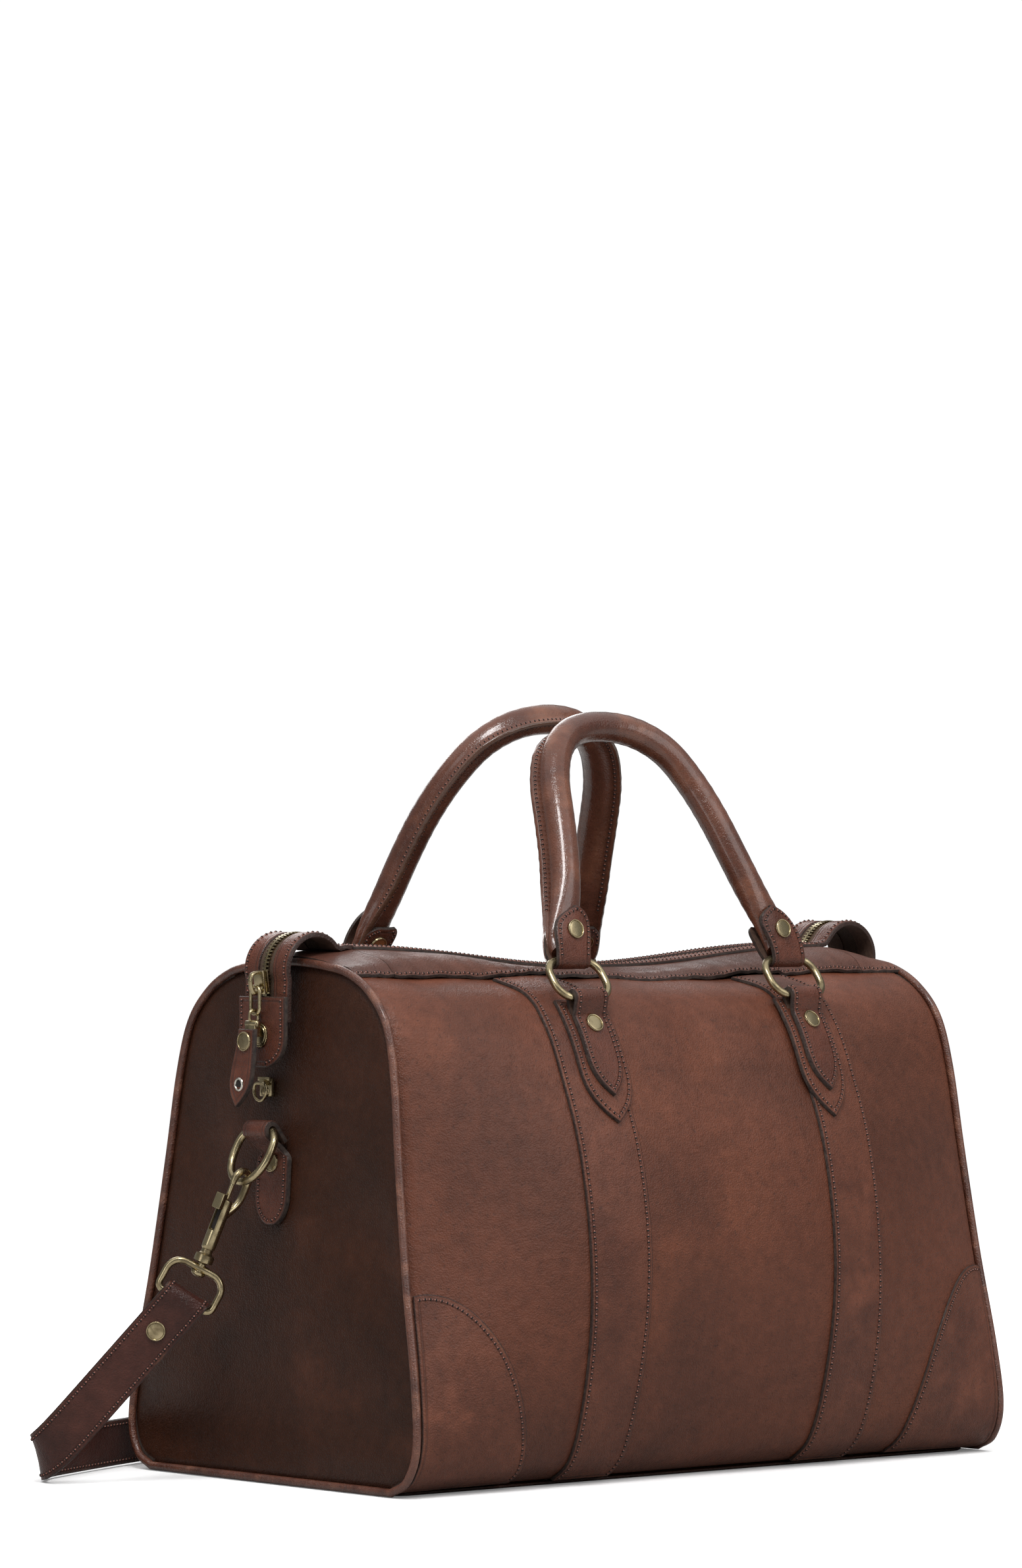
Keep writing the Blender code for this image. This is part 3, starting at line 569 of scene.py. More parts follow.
def turned(profile: Sequence[tuple[float, float]], origin: np.ndarray, axis: np.ndarray, sides: int = 32,
           hollow: bool = False) -> bmesh.types.BMesh:
    """Builds a turned shape from radii and heights along an axis.

    Args:
        profile: Radius and height of each ring.
        origin: Where the height is nought.
        axis: Direction in which the height grows.
        sides: How many sides it has.
        hollow: Whether the profile closes on itself, as for a washer.

    Returns:
        The mesh.
    """
    axis = unit(np.asarray(axis, float))
    one = unit(np.cross(axis, UP if abs(axis[2]) < 0.9 else np.array((1.0, 0, 0))))
    two = np.cross(axis, one)
    around = np.linspace(0, 2 * math.pi, sides, endpoint=False)
    spokes = one * np.cos(around)[:, None] + two * np.sin(around)[:, None]
    rings = np.array([np.asarray(origin) + axis * h + spokes * r for r, h in profile])
    return skin(rings, hollow)


def block(low: Sequence[float], high: Sequence[float], place: Matrix, width: float) -> bmesh.types.BMesh:
    """Builds a block between two corners of a frame, with rounded edges."""
    bm = bmesh.new()
    bmesh.ops.create_cube(bm, size=1)
    low_v, high_v = Vector(low), Vector(high)
    bm.transform(Matrix.Translation((low_v + high_v) / 2) @ Matrix.Diagonal((*(high_v - low_v), 1)))
    bmesh.ops.bevel(bm, geom=bm.edges, offset=width, segments=2, affect="EDGES", profile=0.6)
    bm.transform(place)
    return bm


def joined(parts: Sequence[bmesh.types.BMesh]) -> bmesh.types.BMesh:
    """Puts several meshes into one."""
    whole = bmesh.new()
    for part in parts:
        mesh = bpy.data.meshes.new("part")
        part.to_mesh(mesh)
        part.free()
        whole.from_mesh(mesh)
        bpy.data.meshes.remove(mesh)
    return whole


def rounded_loop(width: float, height: float, corner: float, count: int = 8) -> np.ndarray:
    """Gives a rounded rectangle's points about the origin, width first."""
    points = []
    for cx, cy, start in ((1, 1, 0), (-1, 1, 90), (-1, -1, 180), (1, -1, 270)):
        for step in range(count + 1):
            a = math.radians(start + 90 * step / count)
            points.append((cx * (width / 2 - corner) + corner * math.cos(a),
                           cy * (height / 2 - corner) + corner * math.sin(a)))
    return np.array(points)


def frame_matrix(x: np.ndarray, y: np.ndarray, z: np.ndarray, origin: np.ndarray) -> Matrix:
    """Gives the matrix whose axes and origin are the given ones."""
    found = Matrix.Identity(4)
    for column, axis in enumerate((x, y, z, origin)):
        for row in range(3):
            found[row][column] = float(axis[row])
    return found


# ---------------------------------------------------------------- shader groups


class Graph:
    """Adds nodes to a node tree with their inputs set or linked in one call."""

    def __init__(self, tree: bpy.types.NodeTree) -> None:
        """Keeps the tree."""
        self.tree = tree

    def add(self, kind: str, inputs: dict | None = None, **settings: object) -> bpy.types.Node:
        """Adds a node.

        Args:
            kind: The node's type.
            inputs: Values or sockets for its inputs, by name or index.
            **settings: Its own settings.

        Returns:
            The node.
        """
        node = self.tree.nodes.new(kind)
        for key, value in settings.items():
            setattr(node, key, value)
        self.set_inputs(node, inputs or {})
        return node

    def set_inputs(self, node: bpy.types.Node, inputs: dict) -> None:
        """Sets or links a node's inputs, by name or index."""
        for key, value in inputs.items():
            if isinstance(value, Socket):
                self.tree.links.new(value, node.inputs[key])
            else:
                node.inputs[key].default_value = value

    def math(self, operation: str, a: object, b: object = 0.0, clamp: bool = False) -> Socket:
        """Adds a Math node and gives its result."""
        return self.add("ShaderNodeMath", {0: a, 1: b}, operation=operation, use_clamp=clamp).outputs[0]

    def ramp(self, value: object, low: object, high: object, to_low: float = 0.0, to_high: float = 1.0) -> Socket:
        """Maps a value smoothly from one range to another."""
        inputs = {0: value, 1: low, 2: high, 3: to_low, 4: to_high}
        return self.add("ShaderNodeMapRange", inputs, interpolation_type="SMOOTHSTEP").outputs[0]

    def mixed(self, share: object, a: object, b: object, blend: str = "MIX") -> Socket:
        """Mixes two colours."""
        return self.add("ShaderNodeMix", {0: share, 6: a, 7: b}, data_type="RGBA", blend_type=blend).outputs[2]

    def noise(self, vector: object, scale: object, detail: float = 3.0, rough: float = 0.5,
              distortion: float = 0.0) -> Socket:
        """Adds a noise texture and gives its value."""
        inputs = {"Vector": vector, "Scale": scale, "Detail": detail, "Roughness": rough, "Distortion": distortion}
        return self.add("ShaderNodeTexNoise", inputs).outputs[0]


def shader_group(name: str, inputs: dict[str, tuple[str, object]], outputs: dict[str, str]) -> tuple:
    """Starts a shader node group.

    Args:
        name: The group's name.
        inputs: Socket kind and default value of each input.
        outputs: Socket kind of each output.

    Returns:
        The group's graph, the inputs' sockets inside it, and the output node.
    """
    tree = bpy.data.node_groups.new(name, "ShaderNodeTree")
    for title, (kind, value) in inputs.items():
        socket = tree.interface.new_socket(title, in_out="INPUT", socket_type=kind)
        if value is not None:
            socket.default_value = value
    for title, kind in outputs.items():
        tree.interface.new_socket(title, in_out="OUTPUT", socket_type=kind)
    entry, result = tree.nodes.new("NodeGroupInput"), tree.nodes.new("NodeGroupOutput")
    return Graph(tree), entry.outputs, result


FLOAT, COLOUR, VECTOR = "NodeSocketFloat", "NodeSocketColor", "NodeSocketVector"


def make_grain_group() -> bpy.types.NodeTree:
    """Builds the leather grain: fine pores, soft pebbling and faint creases, as a height and a pore mask."""
    graph, given, result = shader_group(
        "leather_grain",
        {"Vector": (VECTOR, None), "Pore Scale": (FLOAT, 900.0), "Crease": (FLOAT, 0.5), "Crease Scale": (FLOAT, 30.0)},
        {"Height": FLOAT, "Pores": FLOAT, "Creases": FLOAT})
    vector = given["Vector"]
    cells = graph.add("ShaderNodeTexVoronoi", {"Vector": vector, "Scale": given["Pore Scale"]},
                      feature="F1").outputs["Distance"]
    pebble = graph.ramp(cells, 0.15, 0.75)
    fine = graph.noise(vector, graph.math("MULTIPLY", given["Pore Scale"], 0.35), 4, 0.6)
    pores = graph.ramp(graph.noise(vector, graph.math("MULTIPLY", given["Pore Scale"], 0.5), 2, 0.5), 0.60, 0.72)
    stretched = graph.add("ShaderNodeMapping", {0: vector, 3: (0.35, 1.0, 1.0)}).outputs[0]
    raw = graph.noise(stretched, given["Crease Scale"], 5, 0.62, 1.4)
    folds = graph.math("SUBTRACT", 1.0, graph.math("MULTIPLY", graph.math("ABSOLUTE", graph.math(
        "SUBTRACT", raw, 0.5)), 9.0), clamp=True)
    patch = graph.ramp(graph.noise(vector, 9.0, 2, 0.5), 0.42, 0.68)
    creases = graph.math("MULTIPLY", graph.math("MULTIPLY", folds, patch), given["Crease"])
    height = graph.math("ADD", graph.math("MULTIPLY", pebble, -0.40), graph.math("MULTIPLY", fine, 1.10))
    height = graph.math("SUBTRACT", height, graph.math("MULTIPLY", creases, 0.8))
    height = graph.math("SUBTRACT", height, graph.math("MULTIPLY", pores, 0.25))
    graph.set_inputs(result, {"Height": height, "Pores": pores, "Creases": creases})
    return graph.tree


def make_cloud_group() -> bpy.types.NodeTree:
    """Builds the hand-rubbed colour: dark, middle and light tones in soft clouds with fine mottling."""
    graph, given, result = shader_group(
        "rubbed_colour",
        {"Vector": (VECTOR, None), "Dark": (COLOUR, (0.05, 0.02, 0.01, 1)), "Middle": (COLOUR, (0.1, 0.04, 0.02, 1)),
         "Light": (COLOUR, (0.2, 0.08, 0.04, 1)), "Cloud Scale": (FLOAT, 7.0), "Mottle": (FLOAT, 0.4)},
        {"Color": COLOUR, "Cloud": FLOAT})
    vector = given["Vector"]
    cloud = graph.noise(vector, given["Cloud Scale"], 4, 0.55, 0.4)
    other = graph.noise(graph.add("ShaderNodeMapping", {0: vector, 1: (3.1, 1.7, 0.4)}).outputs[0],
                        graph.math("MULTIPLY", given["Cloud Scale"], 1.9), 3, 0.5)
    mottle = graph.noise(vector, 120.0, 4, 0.65)
    colour = graph.mixed(graph.ramp(cloud, 0.30, 0.62), given["Dark"], given["Middle"])
    colour = graph.mixed(graph.ramp(other, 0.50, 0.78), colour, given["Light"])
    shade = graph.math("ADD", 1.0, graph.math("MULTIPLY", graph.math("SUBTRACT", mottle, 0.5), given["Mottle"]))
    grey = graph.add("ShaderNodeCombineColor", {0: shade, 1: shade, 2: shade}).outputs[0]
    colour = graph.mixed(1.0, colour, grey, "MULTIPLY")
    graph.set_inputs(result, {"Color": colour, "Cloud": cloud})
    return graph.tree


def make_rim_group() -> bpy.types.NodeTree:
    """Builds the finish of a cut edge: a burnished dark line, and the shallow groove that a stitch row lies in, whose
    mask also paints shade in the groove.
    """
    graph, given, result = shader_group(
        "burnished_rim",
        {"Rim": (FLOAT, 0.02), "Vector": (VECTOR, None), "Inset": (FLOAT, 0.003)},
        {"Edge": FLOAT, "Groove": FLOAT, "Wear": FLOAT})
    ragged = graph.math("MULTIPLY", graph.math("SUBTRACT", graph.noise(given["Vector"], 160.0, 3, 0.6), 0.5), 0.0012)
    distance = graph.math("ADD", given["Rim"], ragged)
    edge = graph.ramp(distance, 0.0002, 0.0011, 1.0, 0.0)
    off = graph.math("ABSOLUTE", graph.math("SUBTRACT", given["Rim"], given["Inset"]))
    groove = graph.ramp(off, 0.0002, 0.0011, 1.0, 0.0)
    wear = graph.math("MULTIPLY", graph.ramp(distance, 0.0008, 0.0026, 1.0, 0.0),
                      graph.ramp(graph.noise(given["Vector"], 45.0, 3, 0.6), 0.5, 0.7))
    graph.set_inputs(result, {"Edge": edge, "Groove": groove, "Wear": wear})
    return graph.tree


def make_patina_group() -> bpy.types.NodeTree:
    """Builds aged plating: worn bright metal with dark patina in blotches and fine scratches."""
    graph, given, result = shader_group(
        "aged_plating",
        {"Vector": (VECTOR, None), "Bright": (COLOUR, (0.6, 0.5, 0.3, 1)), "Dull": (COLOUR, (0.2, 0.15, 0.08, 1)),
         "Age": (FLOAT, 0.5)},
        {"Color": COLOUR, "Roughness": FLOAT, "Height": FLOAT})
    vector = given["Vector"]
    blotch = graph.noise(vector, 95.0, 4, 0.55, 0.2)
    speck = graph.noise(vector, 900.0, 2, 0.5)
    shift = graph.math("MULTIPLY", graph.math("SUBTRACT", given["Age"], 0.5), 0.35)
    tone = graph.ramp(graph.math("ADD", blotch, shift), 0.42, 0.66)
    colour = graph.mixed(tone, given["Bright"], given["Dull"])
    colour = graph.mixed(graph.math("MULTIPLY", graph.ramp(speck, 0.62, 0.76), 0.3), colour, given["Dull"])
    roughness = graph.math("ADD", 0.20, graph.math("MULTIPLY", tone, 0.16))
    height = graph.math("ADD", blotch, graph.math("MULTIPLY", speck, 0.4))
    graph.set_inputs(result, {"Color": colour, "Roughness": roughness, "Height": height})
    return graph.tree


def make_twill_group() -> bpy.types.NodeTree:
    """Builds woven cloth on the piece's own map: slanted ribs that turn back at the middle, and their threads, with a
    shade that paints the grooves darker and the ridges lighter.
    """
    graph, given, result = shader_group(
        "woven_cloth",
        {"Vector": (VECTOR, None), "Rib": (FLOAT, 0.0009), "Slant": (FLOAT, 1.0)},
        {"Height": FLOAT, "Shade": FLOAT})
    parts = graph.add("ShaderNodeSeparateXYZ", {0: given["Vector"]}).outputs
    across = graph.math("MULTIPLY", graph.math("ABSOLUTE", parts[0]), given["Slant"])
    turn = graph.math("DIVIDE", 2 * math.pi, given["Rib"])
    ribs = graph.math("SINE", graph.math("MULTIPLY", graph.math("ADD", parts[1], across), turn))
    threads = graph.math("SINE", graph.math("MULTIPLY", parts[0], graph.math("MULTIPLY", turn, 1.6)))
    height = graph.math("ADD", graph.math("MULTIPLY", ribs, 0.35), graph.math("MULTIPLY", threads, 0.15))
    graph.tree.links.new(height, result.inputs["Height"])
    graph.tree.links.new(graph.ramp(height, -0.45, 0.45), result.inputs["Shade"])
    return graph.tree


class Groups:
    """The shader groups that the materials share, each built once."""

    grain = make_grain_group()
    cloud = make_cloud_group()
    rim = make_rim_group()
    patina = make_patina_group()
    twill = make_twill_group()


def new_material(name: str) -> tuple[bpy.types.Material, Graph, bpy.types.Node]:
    """Starts a material and gives it with its graph and its shader."""
    material = bpy.data.materials.new(name)
    material.use_nodes = True
    return material, Graph(material.node_tree), material.node_tree.nodes["Principled BSDF"]


def placed(graph: Graph, group: bpy.types.NodeTree, inputs: dict) -> bpy.types.bpy_prop_collection:
    """Puts a shader group in a material and gives its outputs."""
    node = graph.tree.nodes.new("ShaderNodeGroup")
    node.node_tree = group
    graph.set_inputs(node, inputs)
    return node.outputs


def rgba(colour: Sequence[float]) -> tuple[float, float, float, float]:
    """Adds full opacity to a colour."""
    return (colour[0], colour[1], colour[2], 1.0)


@dataclass(frozen=True)
class Leather:
    """Full-grain leather, rubbed with wax, with a burnished edge where it is cut, and painted shade in its creases and
    stitch grooves.
    """

    name: str
    # dark also paints the shade in creases, and edge the shade in stitch grooves.
    dark: tuple = (0.070, 0.0235, 0.0135)
    middle: tuple = (0.102, 0.0325, 0.0175)
    light: tuple = (0.132, 0.0420, 0.0215)
    edge: tuple = (0.022, 0.014, 0.012)
    worn: tuple = (0.20, 0.095, 0.055)
    roughness: tuple = (0.32, 0.46)
    cloud_scale: float = 7.0
    mottle: float = 0.9
    crease: float = 0.5
    crease_scale: float = 30.0
    pore_scale: float = 900.0
    bump: float = 0.42
    coat: float = 0.03
    coat_roughness: float = 0.14
    specular: float = 0.24
    sewn: bool = True

    def material(self) -> bpy.types.Material:
        """Builds the material."""
        material, graph, shader = new_material(self.name)
        vector = graph.add("ShaderNodeTexCoord").outputs["Object"]
        rim = graph.add("ShaderNodeAttribute", attribute_name="rim").outputs["Fac"]
        grain = placed(graph, Groups.grain, {"Vector": vector, "Pore Scale": self.pore_scale, "Crease": self.crease,
                                             "Crease Scale": self.crease_scale})
        cloud = placed(graph, Groups.cloud, {"Vector": vector, "Dark": rgba(self.dark), "Middle": rgba(self.middle),
                                             "Light": rgba(self.light), "Cloud Scale": self.cloud_scale,
                                             "Mottle": self.mottle})
        cut = placed(graph, Groups.rim, {"Rim": rim, "Vector": vector})
        colour = graph.mixed(graph.math("MULTIPLY", grain["Pores"], 0.35), cloud["Color"], rgba(self.edge))
        # Painted shade: the creases' folds are darkened toward the dark tone.
        colour = graph.mixed(graph.math("MULTIPLY", grain["Creases"], 0.30), colour, rgba(self.dark))
        colour = graph.mixed(graph.math("MULTIPLY", cut["Wear"], 0.25), colour, rgba(self.worn))
        if self.sewn:
            # Painted shade: the stitch groove is darkened toward the edge colour.
            colour = graph.mixed(graph.math("MULTIPLY", cut["Groove"], 0.34), colour, rgba(self.edge))
        colour = graph.mixed(graph.math("MULTIPLY", cut["Edge"], 0.85), colour, rgba(self.edge))
        low, high = self.roughness
        rough = graph.math("ADD", low, graph.math("MULTIPLY", cloud["Cloud"], high - low))
        rough = graph.math("ADD", rough, graph.math("MULTIPLY", grain["Pores"], 0.12))
        height = grain["Height"]
        if self.sewn:
            height = graph.math("SUBTRACT", height, graph.math("MULTIPLY", cut["Groove"], 1.6))
        normal = graph.add("ShaderNodeBump", {"Strength": self.bump, "Distance": 0.0011, "Height": height}).outputs[0]
        graph.set_inputs(shader, {"Base Color": colour, "Roughness": rough, "Normal": normal,
                                  "Specular IOR Level": self.specular, "Coat Weight": self.coat,
                                  "Coat Roughness": self.coat_roughness})
        return material


@dataclass(frozen=True)
class Plated:
    """Plated metal that has aged."""

    name: str
    bright: tuple
    dull: tuple
    age: float = 0.5

    def material(self) -> bpy.types.Material:
        """Builds the material."""
        material, graph, shader = new_material(self.name)
        vector = graph.add("ShaderNodeTexCoord").outputs["Object"]
        plate = placed(graph, Groups.patina, {"Vector": vector, "Bright": rgba(self.bright),
                                              "Dull": rgba(self.dull), "Age": self.age})
        normal = graph.add("ShaderNodeBump", {"Strength": 0.05, "Distance": 0.0003, "Height": plate["Height"]})
        graph.set_inputs(shader, {"Base Color": plate["Color"], "Roughness": plate["Roughness"],
                                  "Normal": normal.outputs[0], "Metallic": 1.0})
        return material


@dataclass(frozen=True)
class Woven:
    """Cloth woven in ribs, read on the piece's own map or on its place, with painted shade in the rib grooves and
    painted light on the ridges.
    """

    name: str
    deep: tuple
    pale: tuple
    rib: float = 0.0009
    slant: float = 1.0
    mapped: bool = True

    def material(self) -> bpy.types.Material:
        """Builds the material."""
        material, graph, shader = new_material(self.name)
        where = graph.add("ShaderNodeTexCoord").outputs["Object"]
        if self.mapped:
            vector = graph.add("ShaderNodeUVMap", uv_map="strip").outputs[0]
        else:
            vector = where
        weave = placed(graph, Groups.twill, {"Vector": vector, "Rib": self.rib, "Slant": self.slant})
        fade = graph.ramp(graph.noise(where, 60.0, 3), 0.35, 0.7, 0.75, 1.0)
        # Painted shade and light: the colour follows the ribs' height, dark in the grooves and pale on the ridges.
        colour = graph.mixed(graph.math("MULTIPLY", weave["Shade"], fade), rgba(self.deep), rgba(self.pale))
        normal = graph.add("ShaderNodeBump", {"Strength": 0.5, "Distance": 0.0004, "Height": weave["Height"]})
        rough = graph.ramp(weave["Shade"], 0.0, 1.0, 0.9, 0.75)
        graph.set_inputs(shader, {"Base Color": colour, "Roughness": rough, "Normal": normal.outputs[0]})
        return material


@dataclass(frozen=True)
class Plain:
    """A small or hidden finish of one tone broken by fine noise: thread, cut edges, flesh side, the painted shade in
    holes, floor.
    """

    name: str
    base: tuple
    other: tuple
    roughness: float = 0.7
    scale: float = 400.0
    bump: float = 0.3

    def material(self) -> bpy.types.Material:
        """Builds the material."""
        material, graph, shader = new_material(self.name)
        vector = graph.add("ShaderNodeTexCoord").outputs["Object"]
        value = graph.noise(vector, self.scale, 4, 0.6)
        colour = graph.mixed(graph.ramp(value, 0.3, 0.7), rgba(self.base), rgba(self.other))
        normal = graph.add("ShaderNodeBump", {"Strength": self.bump, "Distance": 0.0003, "Height": value})
        rough = graph.ramp(value, 0.2, 0.8, self.roughness - 0.06, self.roughness + 0.06)
        graph.set_inputs(shader, {"Base Color": colour, "Roughness": rough, "Normal": normal.outputs[0]})
        return material


@dataclass
class Finishes:
    """Every material of the bag."""

    body: bpy.types.Material = field(default_factory=Leather("body_leather", sewn=False).material)
    # Painted shade: the ends' leather is a much darker copy of the body leather, for the ends that face away from the
    # key light; the base wears it too.
    end: bpy.types.Material = field(default_factory=Leather(
        "end_leather", dark=(0.021, 0.0078, 0.0042), middle=(0.035, 0.0118, 0.0058), light=(0.058, 0.0190, 0.0095),
        cloud_scale=9.0, roughness=(0.30, 0.42), specular=0.20, sewn=False).material)
    trim: bpy.types.Material = field(default_factory=Leather(
        "trim_leather", dark=(0.078, 0.026, 0.0155), middle=(0.110, 0.037, 0.0210), light=(0.140, 0.047, 0.0265),
        cloud_scale=16.0, crease_scale=60.0).material)
    top: bpy.types.Material = field(default_factory=Leather(
        "top_leather", dark=(0.052, 0.021, 0.015), middle=(0.078, 0.031, 0.021), light=(0.105, 0.042, 0.028),
        crease=0.9, crease_scale=45.0, cloud_scale=12.0, bump=0.35).material)
    strap: bpy.types.Material = field(default_factory=Leather(
        "strap_leather", dark=(0.034, 0.0120, 0.0090), middle=(0.054, 0.0180, 0.0130), light=(0.080, 0.0270, 0.0190),
        roughness=(0.30, 0.44), cloud_scale=14.0).material)
    tab: bpy.types.Material = field(default_factory=Leather(
        "tab_leather", dark=(0.060, 0.0190, 0.0115), middle=(0.088, 0.0275, 0.0160), light=(0.118, 0.0375, 0.0220),
        roughness=(0.28, 0.40), cloud_scale=22.0, crease_scale=70.0, coat=0.15).material)
    handle: bpy.types.Material = field(default_factory=Leather(
        "handle_leather", dark=(0.062, 0.020, 0.012), middle=(0.104, 0.036, 0.020), light=(0.160, 0.060, 0.032),
        edge=(0.060, 0.028, 0.016), roughness=(0.20, 0.30), crease=0.8, crease_scale=70.0, cloud_scale=18.0,
        bump=0.25, coat=0.6, specular=0.4).material)
    piping: bpy.types.Material = field(default_factory=Leather(
        "piping_leather", dark=(0.062, 0.020, 0.012), middle=(0.110, 0.038, 0.022), light=(0.190, 0.078, 0.046),
        roughness=(0.26, 0.38), coat=0.3, specular=0.5,
        crease=1.0, crease_scale=150.0, cloud_scale=40.0, bump=0.5, sewn=False).material)
    flesh: bpy.types.Material = field(default_factory=Plain(
        "flesh_side", (0.060, 0.030, 0.020), (0.105, 0.058, 0.038), 0.85, 500.0, 0.5).material)
    cut: bpy.types.Material = field(default_factory=Plain(
        "cut_edge", (0.016, 0.011, 0.010), (0.050, 0.034, 0.026), 0.62, 350.0, 0.5).material)
    thread: bpy.types.Material = field(default_factory=Plain(
        "thread", (0.170, 0.065, 0.048), (0.300, 0.130, 0.098), 0.6, 1500.0, 0.5).material)
    # Near-black painted shade for the pricked holes, the puller eyelet's hole and the hook's slot.
    hole_shade: bpy.types.Material = field(default_factory=Plain(
        "pricked_hole_painted_shade", (0.008, 0.006, 0.005), (0.014, 0.010, 0.008), 0.9, 800.0).material)
    brass: bpy.types.Material = field(default_factory=Plated(
        "antique_brass", (0.48, 0.40, 0.24), (0.24, 0.19, 0.11), 0.50).material)
    dark_brass: bpy.types.Material = field(default_factory=Plated(
        "dark_brass", (0.34, 0.27, 0.15), (0.15, 0.115, 0.065), 0.55).material)
    silver: bpy.types.Material = field(default_factory=Plated(
        "eyelet_nickel", (0.72, 0.70, 0.64), (0.36, 0.33, 0.27), 0.35).material)
    tape: bpy.types.Material = field(default_factory=Woven(
        "zip_tape", (0.022, 0.012, 0.008), (0.105, 0.060, 0.034), 0.0013, 1.0).material)
    lining: bpy.types.Material = field(default_factory=Woven(
        "cotton_lining", (0.085, 0.062, 0.042), (0.150, 0.112, 0.078), 0.0020, 1.0, False).material)
    board: bpy.types.Material = field(default_factory=Plain(
        "fibre_board", (0.20, 0.155, 0.105), (0.28, 0.22, 0.155), 0.85, 300.0).material)

    def laid(self, face: bpy.types.Material) -> list[bpy.types.Material]:
        """Gives the materials of a cut piece: its face, its edge and its back."""
        return [face, self.cut, self.flesh]


# ---------------------------------------------------------------- things set along seams, with Geometry Nodes


class Setting(Enum):
    """What a Geometry Nodes tree sets on the points or lines that it is given."""

    STITCH = "stitch_row"
    CAP = "rivet_cap"
    TOOTH = "zip_tooth"
    CORD = "round_cord"


def geometry_tree(setting: Setting, sizes: dict[str, float]) -> tuple[Graph, bpy.types.bpy_prop_collection,
                                                                       bpy.types.Node]:
    """Starts a Geometry Nodes tree.

    Args:
        setting: What the tree makes, which names it.
        sizes: Its named sizes in metres, with their usual values.

    Returns:
        The tree's graph, its inputs inside it, and its output node.
    """
    tree = bpy.data.node_groups.new(setting.value, "GeometryNodeTree")
    tree.interface.new_socket("Geometry", in_out="INPUT", socket_type="NodeSocketGeometry")
    for title, value in sizes.items():
        tree.interface.new_socket(title, in_out="INPUT", socket_type="NodeSocketFloat").default_value = value
    tree.interface.new_socket("Finish", in_out="INPUT", socket_type="NodeSocketMaterial")
    tree.interface.new_socket("Geometry", in_out="OUTPUT", socket_type="NodeSocketGeometry")
    entry, result = tree.nodes.new("NodeGroupInput"), tree.nodes.new("NodeGroupOutput")
    return Graph(tree), entry.outputs, result


def end_tree(graph: Graph, shape: Socket, given: bpy.types.bpy_prop_collection, result: bpy.types.Node) -> None:
    """Ends a tree in real geometry, smooth and in its finish."""
    real = graph.add("GeometryNodeRealizeInstances", {0: shape}).outputs[0]
    smooth = graph.add("GeometryNodeSetShadeSmooth", {0: real}).outputs[0]
    painted = graph.add("GeometryNodeSetMaterial", {"Geometry": smooth, "Material": given["Finish"]}).outputs[0]
    graph.tree.links.new(painted, result.inputs[0])


def combined(graph: Graph, x: object, y: object, z: object) -> Socket:
    """Joins three numbers into a vector."""
    return graph.add("ShaderNodeCombineXYZ", {0: x, 1: y, 2: z}).outputs[0]


def shapes_joined(graph: Graph, *parts: Socket) -> Socket:
    """Joins shapes into one."""
    join = graph.tree.nodes.new("GeometryNodeJoinGeometry")
    for part in parts:
        graph.tree.links.new(part, join.inputs[0])
    return join.outputs[0]


def moved_shape(graph: Graph, shape: Socket, y: object, z: object, **more: Socket) -> Socket:
    """Moves a shape across and up."""
    return graph.add("GeometryNodeTransform", {"Geometry": shape, "Translation": combined(graph, 0.0, y, z),
                                               **more}).outputs[0]


def make_stitch_tree() -> bpy.types.NodeTree:
    """Builds the row of stitches: a grain of thread at every pitch along the line, lying along it."""
    graph, given, result = geometry_tree(
        Setting.STITCH, {"Pitch": 0.0036, "Length": 0.0026, "Radius": 0.00068, "Shift": 0.0})
    curve = graph.add("GeometryNodeMeshToCurve", {0: given["Geometry"]}).outputs[0]
    even = graph.add("GeometryNodeResampleCurve", {"Curve": curve, "Length": given["Pitch"]}, mode="LENGTH").outputs[0]
    tangent = graph.tree.nodes.new("GeometryNodeInputTangent").outputs[0]
    turn = graph.add("FunctionNodeAlignRotationToVector", {"Vector": tangent}, axis="Z").outputs[0]
    grain = graph.add("GeometryNodeMeshUVSphere", {"Segments": 7, "Rings": 6, "Radius": 1.0}).outputs[0]
    half = graph.math("MULTIPLY", given["Length"], 0.5)
    size = combined(graph, given["Radius"], given["Radius"], half)
    rows = graph.add("GeometryNodeInstanceOnPoints", {"Points": even, "Instance": grain, "Rotation": turn,
                                                      "Scale": size}).outputs[0]
    moved = graph.add("GeometryNodeTranslateInstances", {"Instances": rows, "Translation": combined(
        graph, 0.0, 0.0, given["Shift"])}).outputs[0]
    end_tree(graph, moved, given, result)
    return graph.tree


def facing_rotation(graph: Graph, along: bool) -> Socket:
    """Reads how a set piece is turned from the points' own directions."""
    facing = graph.add("GeometryNodeInputNamedAttribute", {"Name": "facing"}, data_type="FLOAT_VECTOR").outputs[0]
    turn = graph.add("FunctionNodeAlignRotationToVector", {"Vector": facing}, axis="Z").outputs[0]
    if not along:
        return turn
    run = graph.add("GeometryNodeInputNamedAttribute", {"Name": "along"}, data_type="FLOAT_VECTOR").outputs[0]
    return graph.add("FunctionNodeAlignRotationToVector", {"Rotation": turn, "Vector": run}, axis="X",
                     pivot_axis="Z").outputs[0]


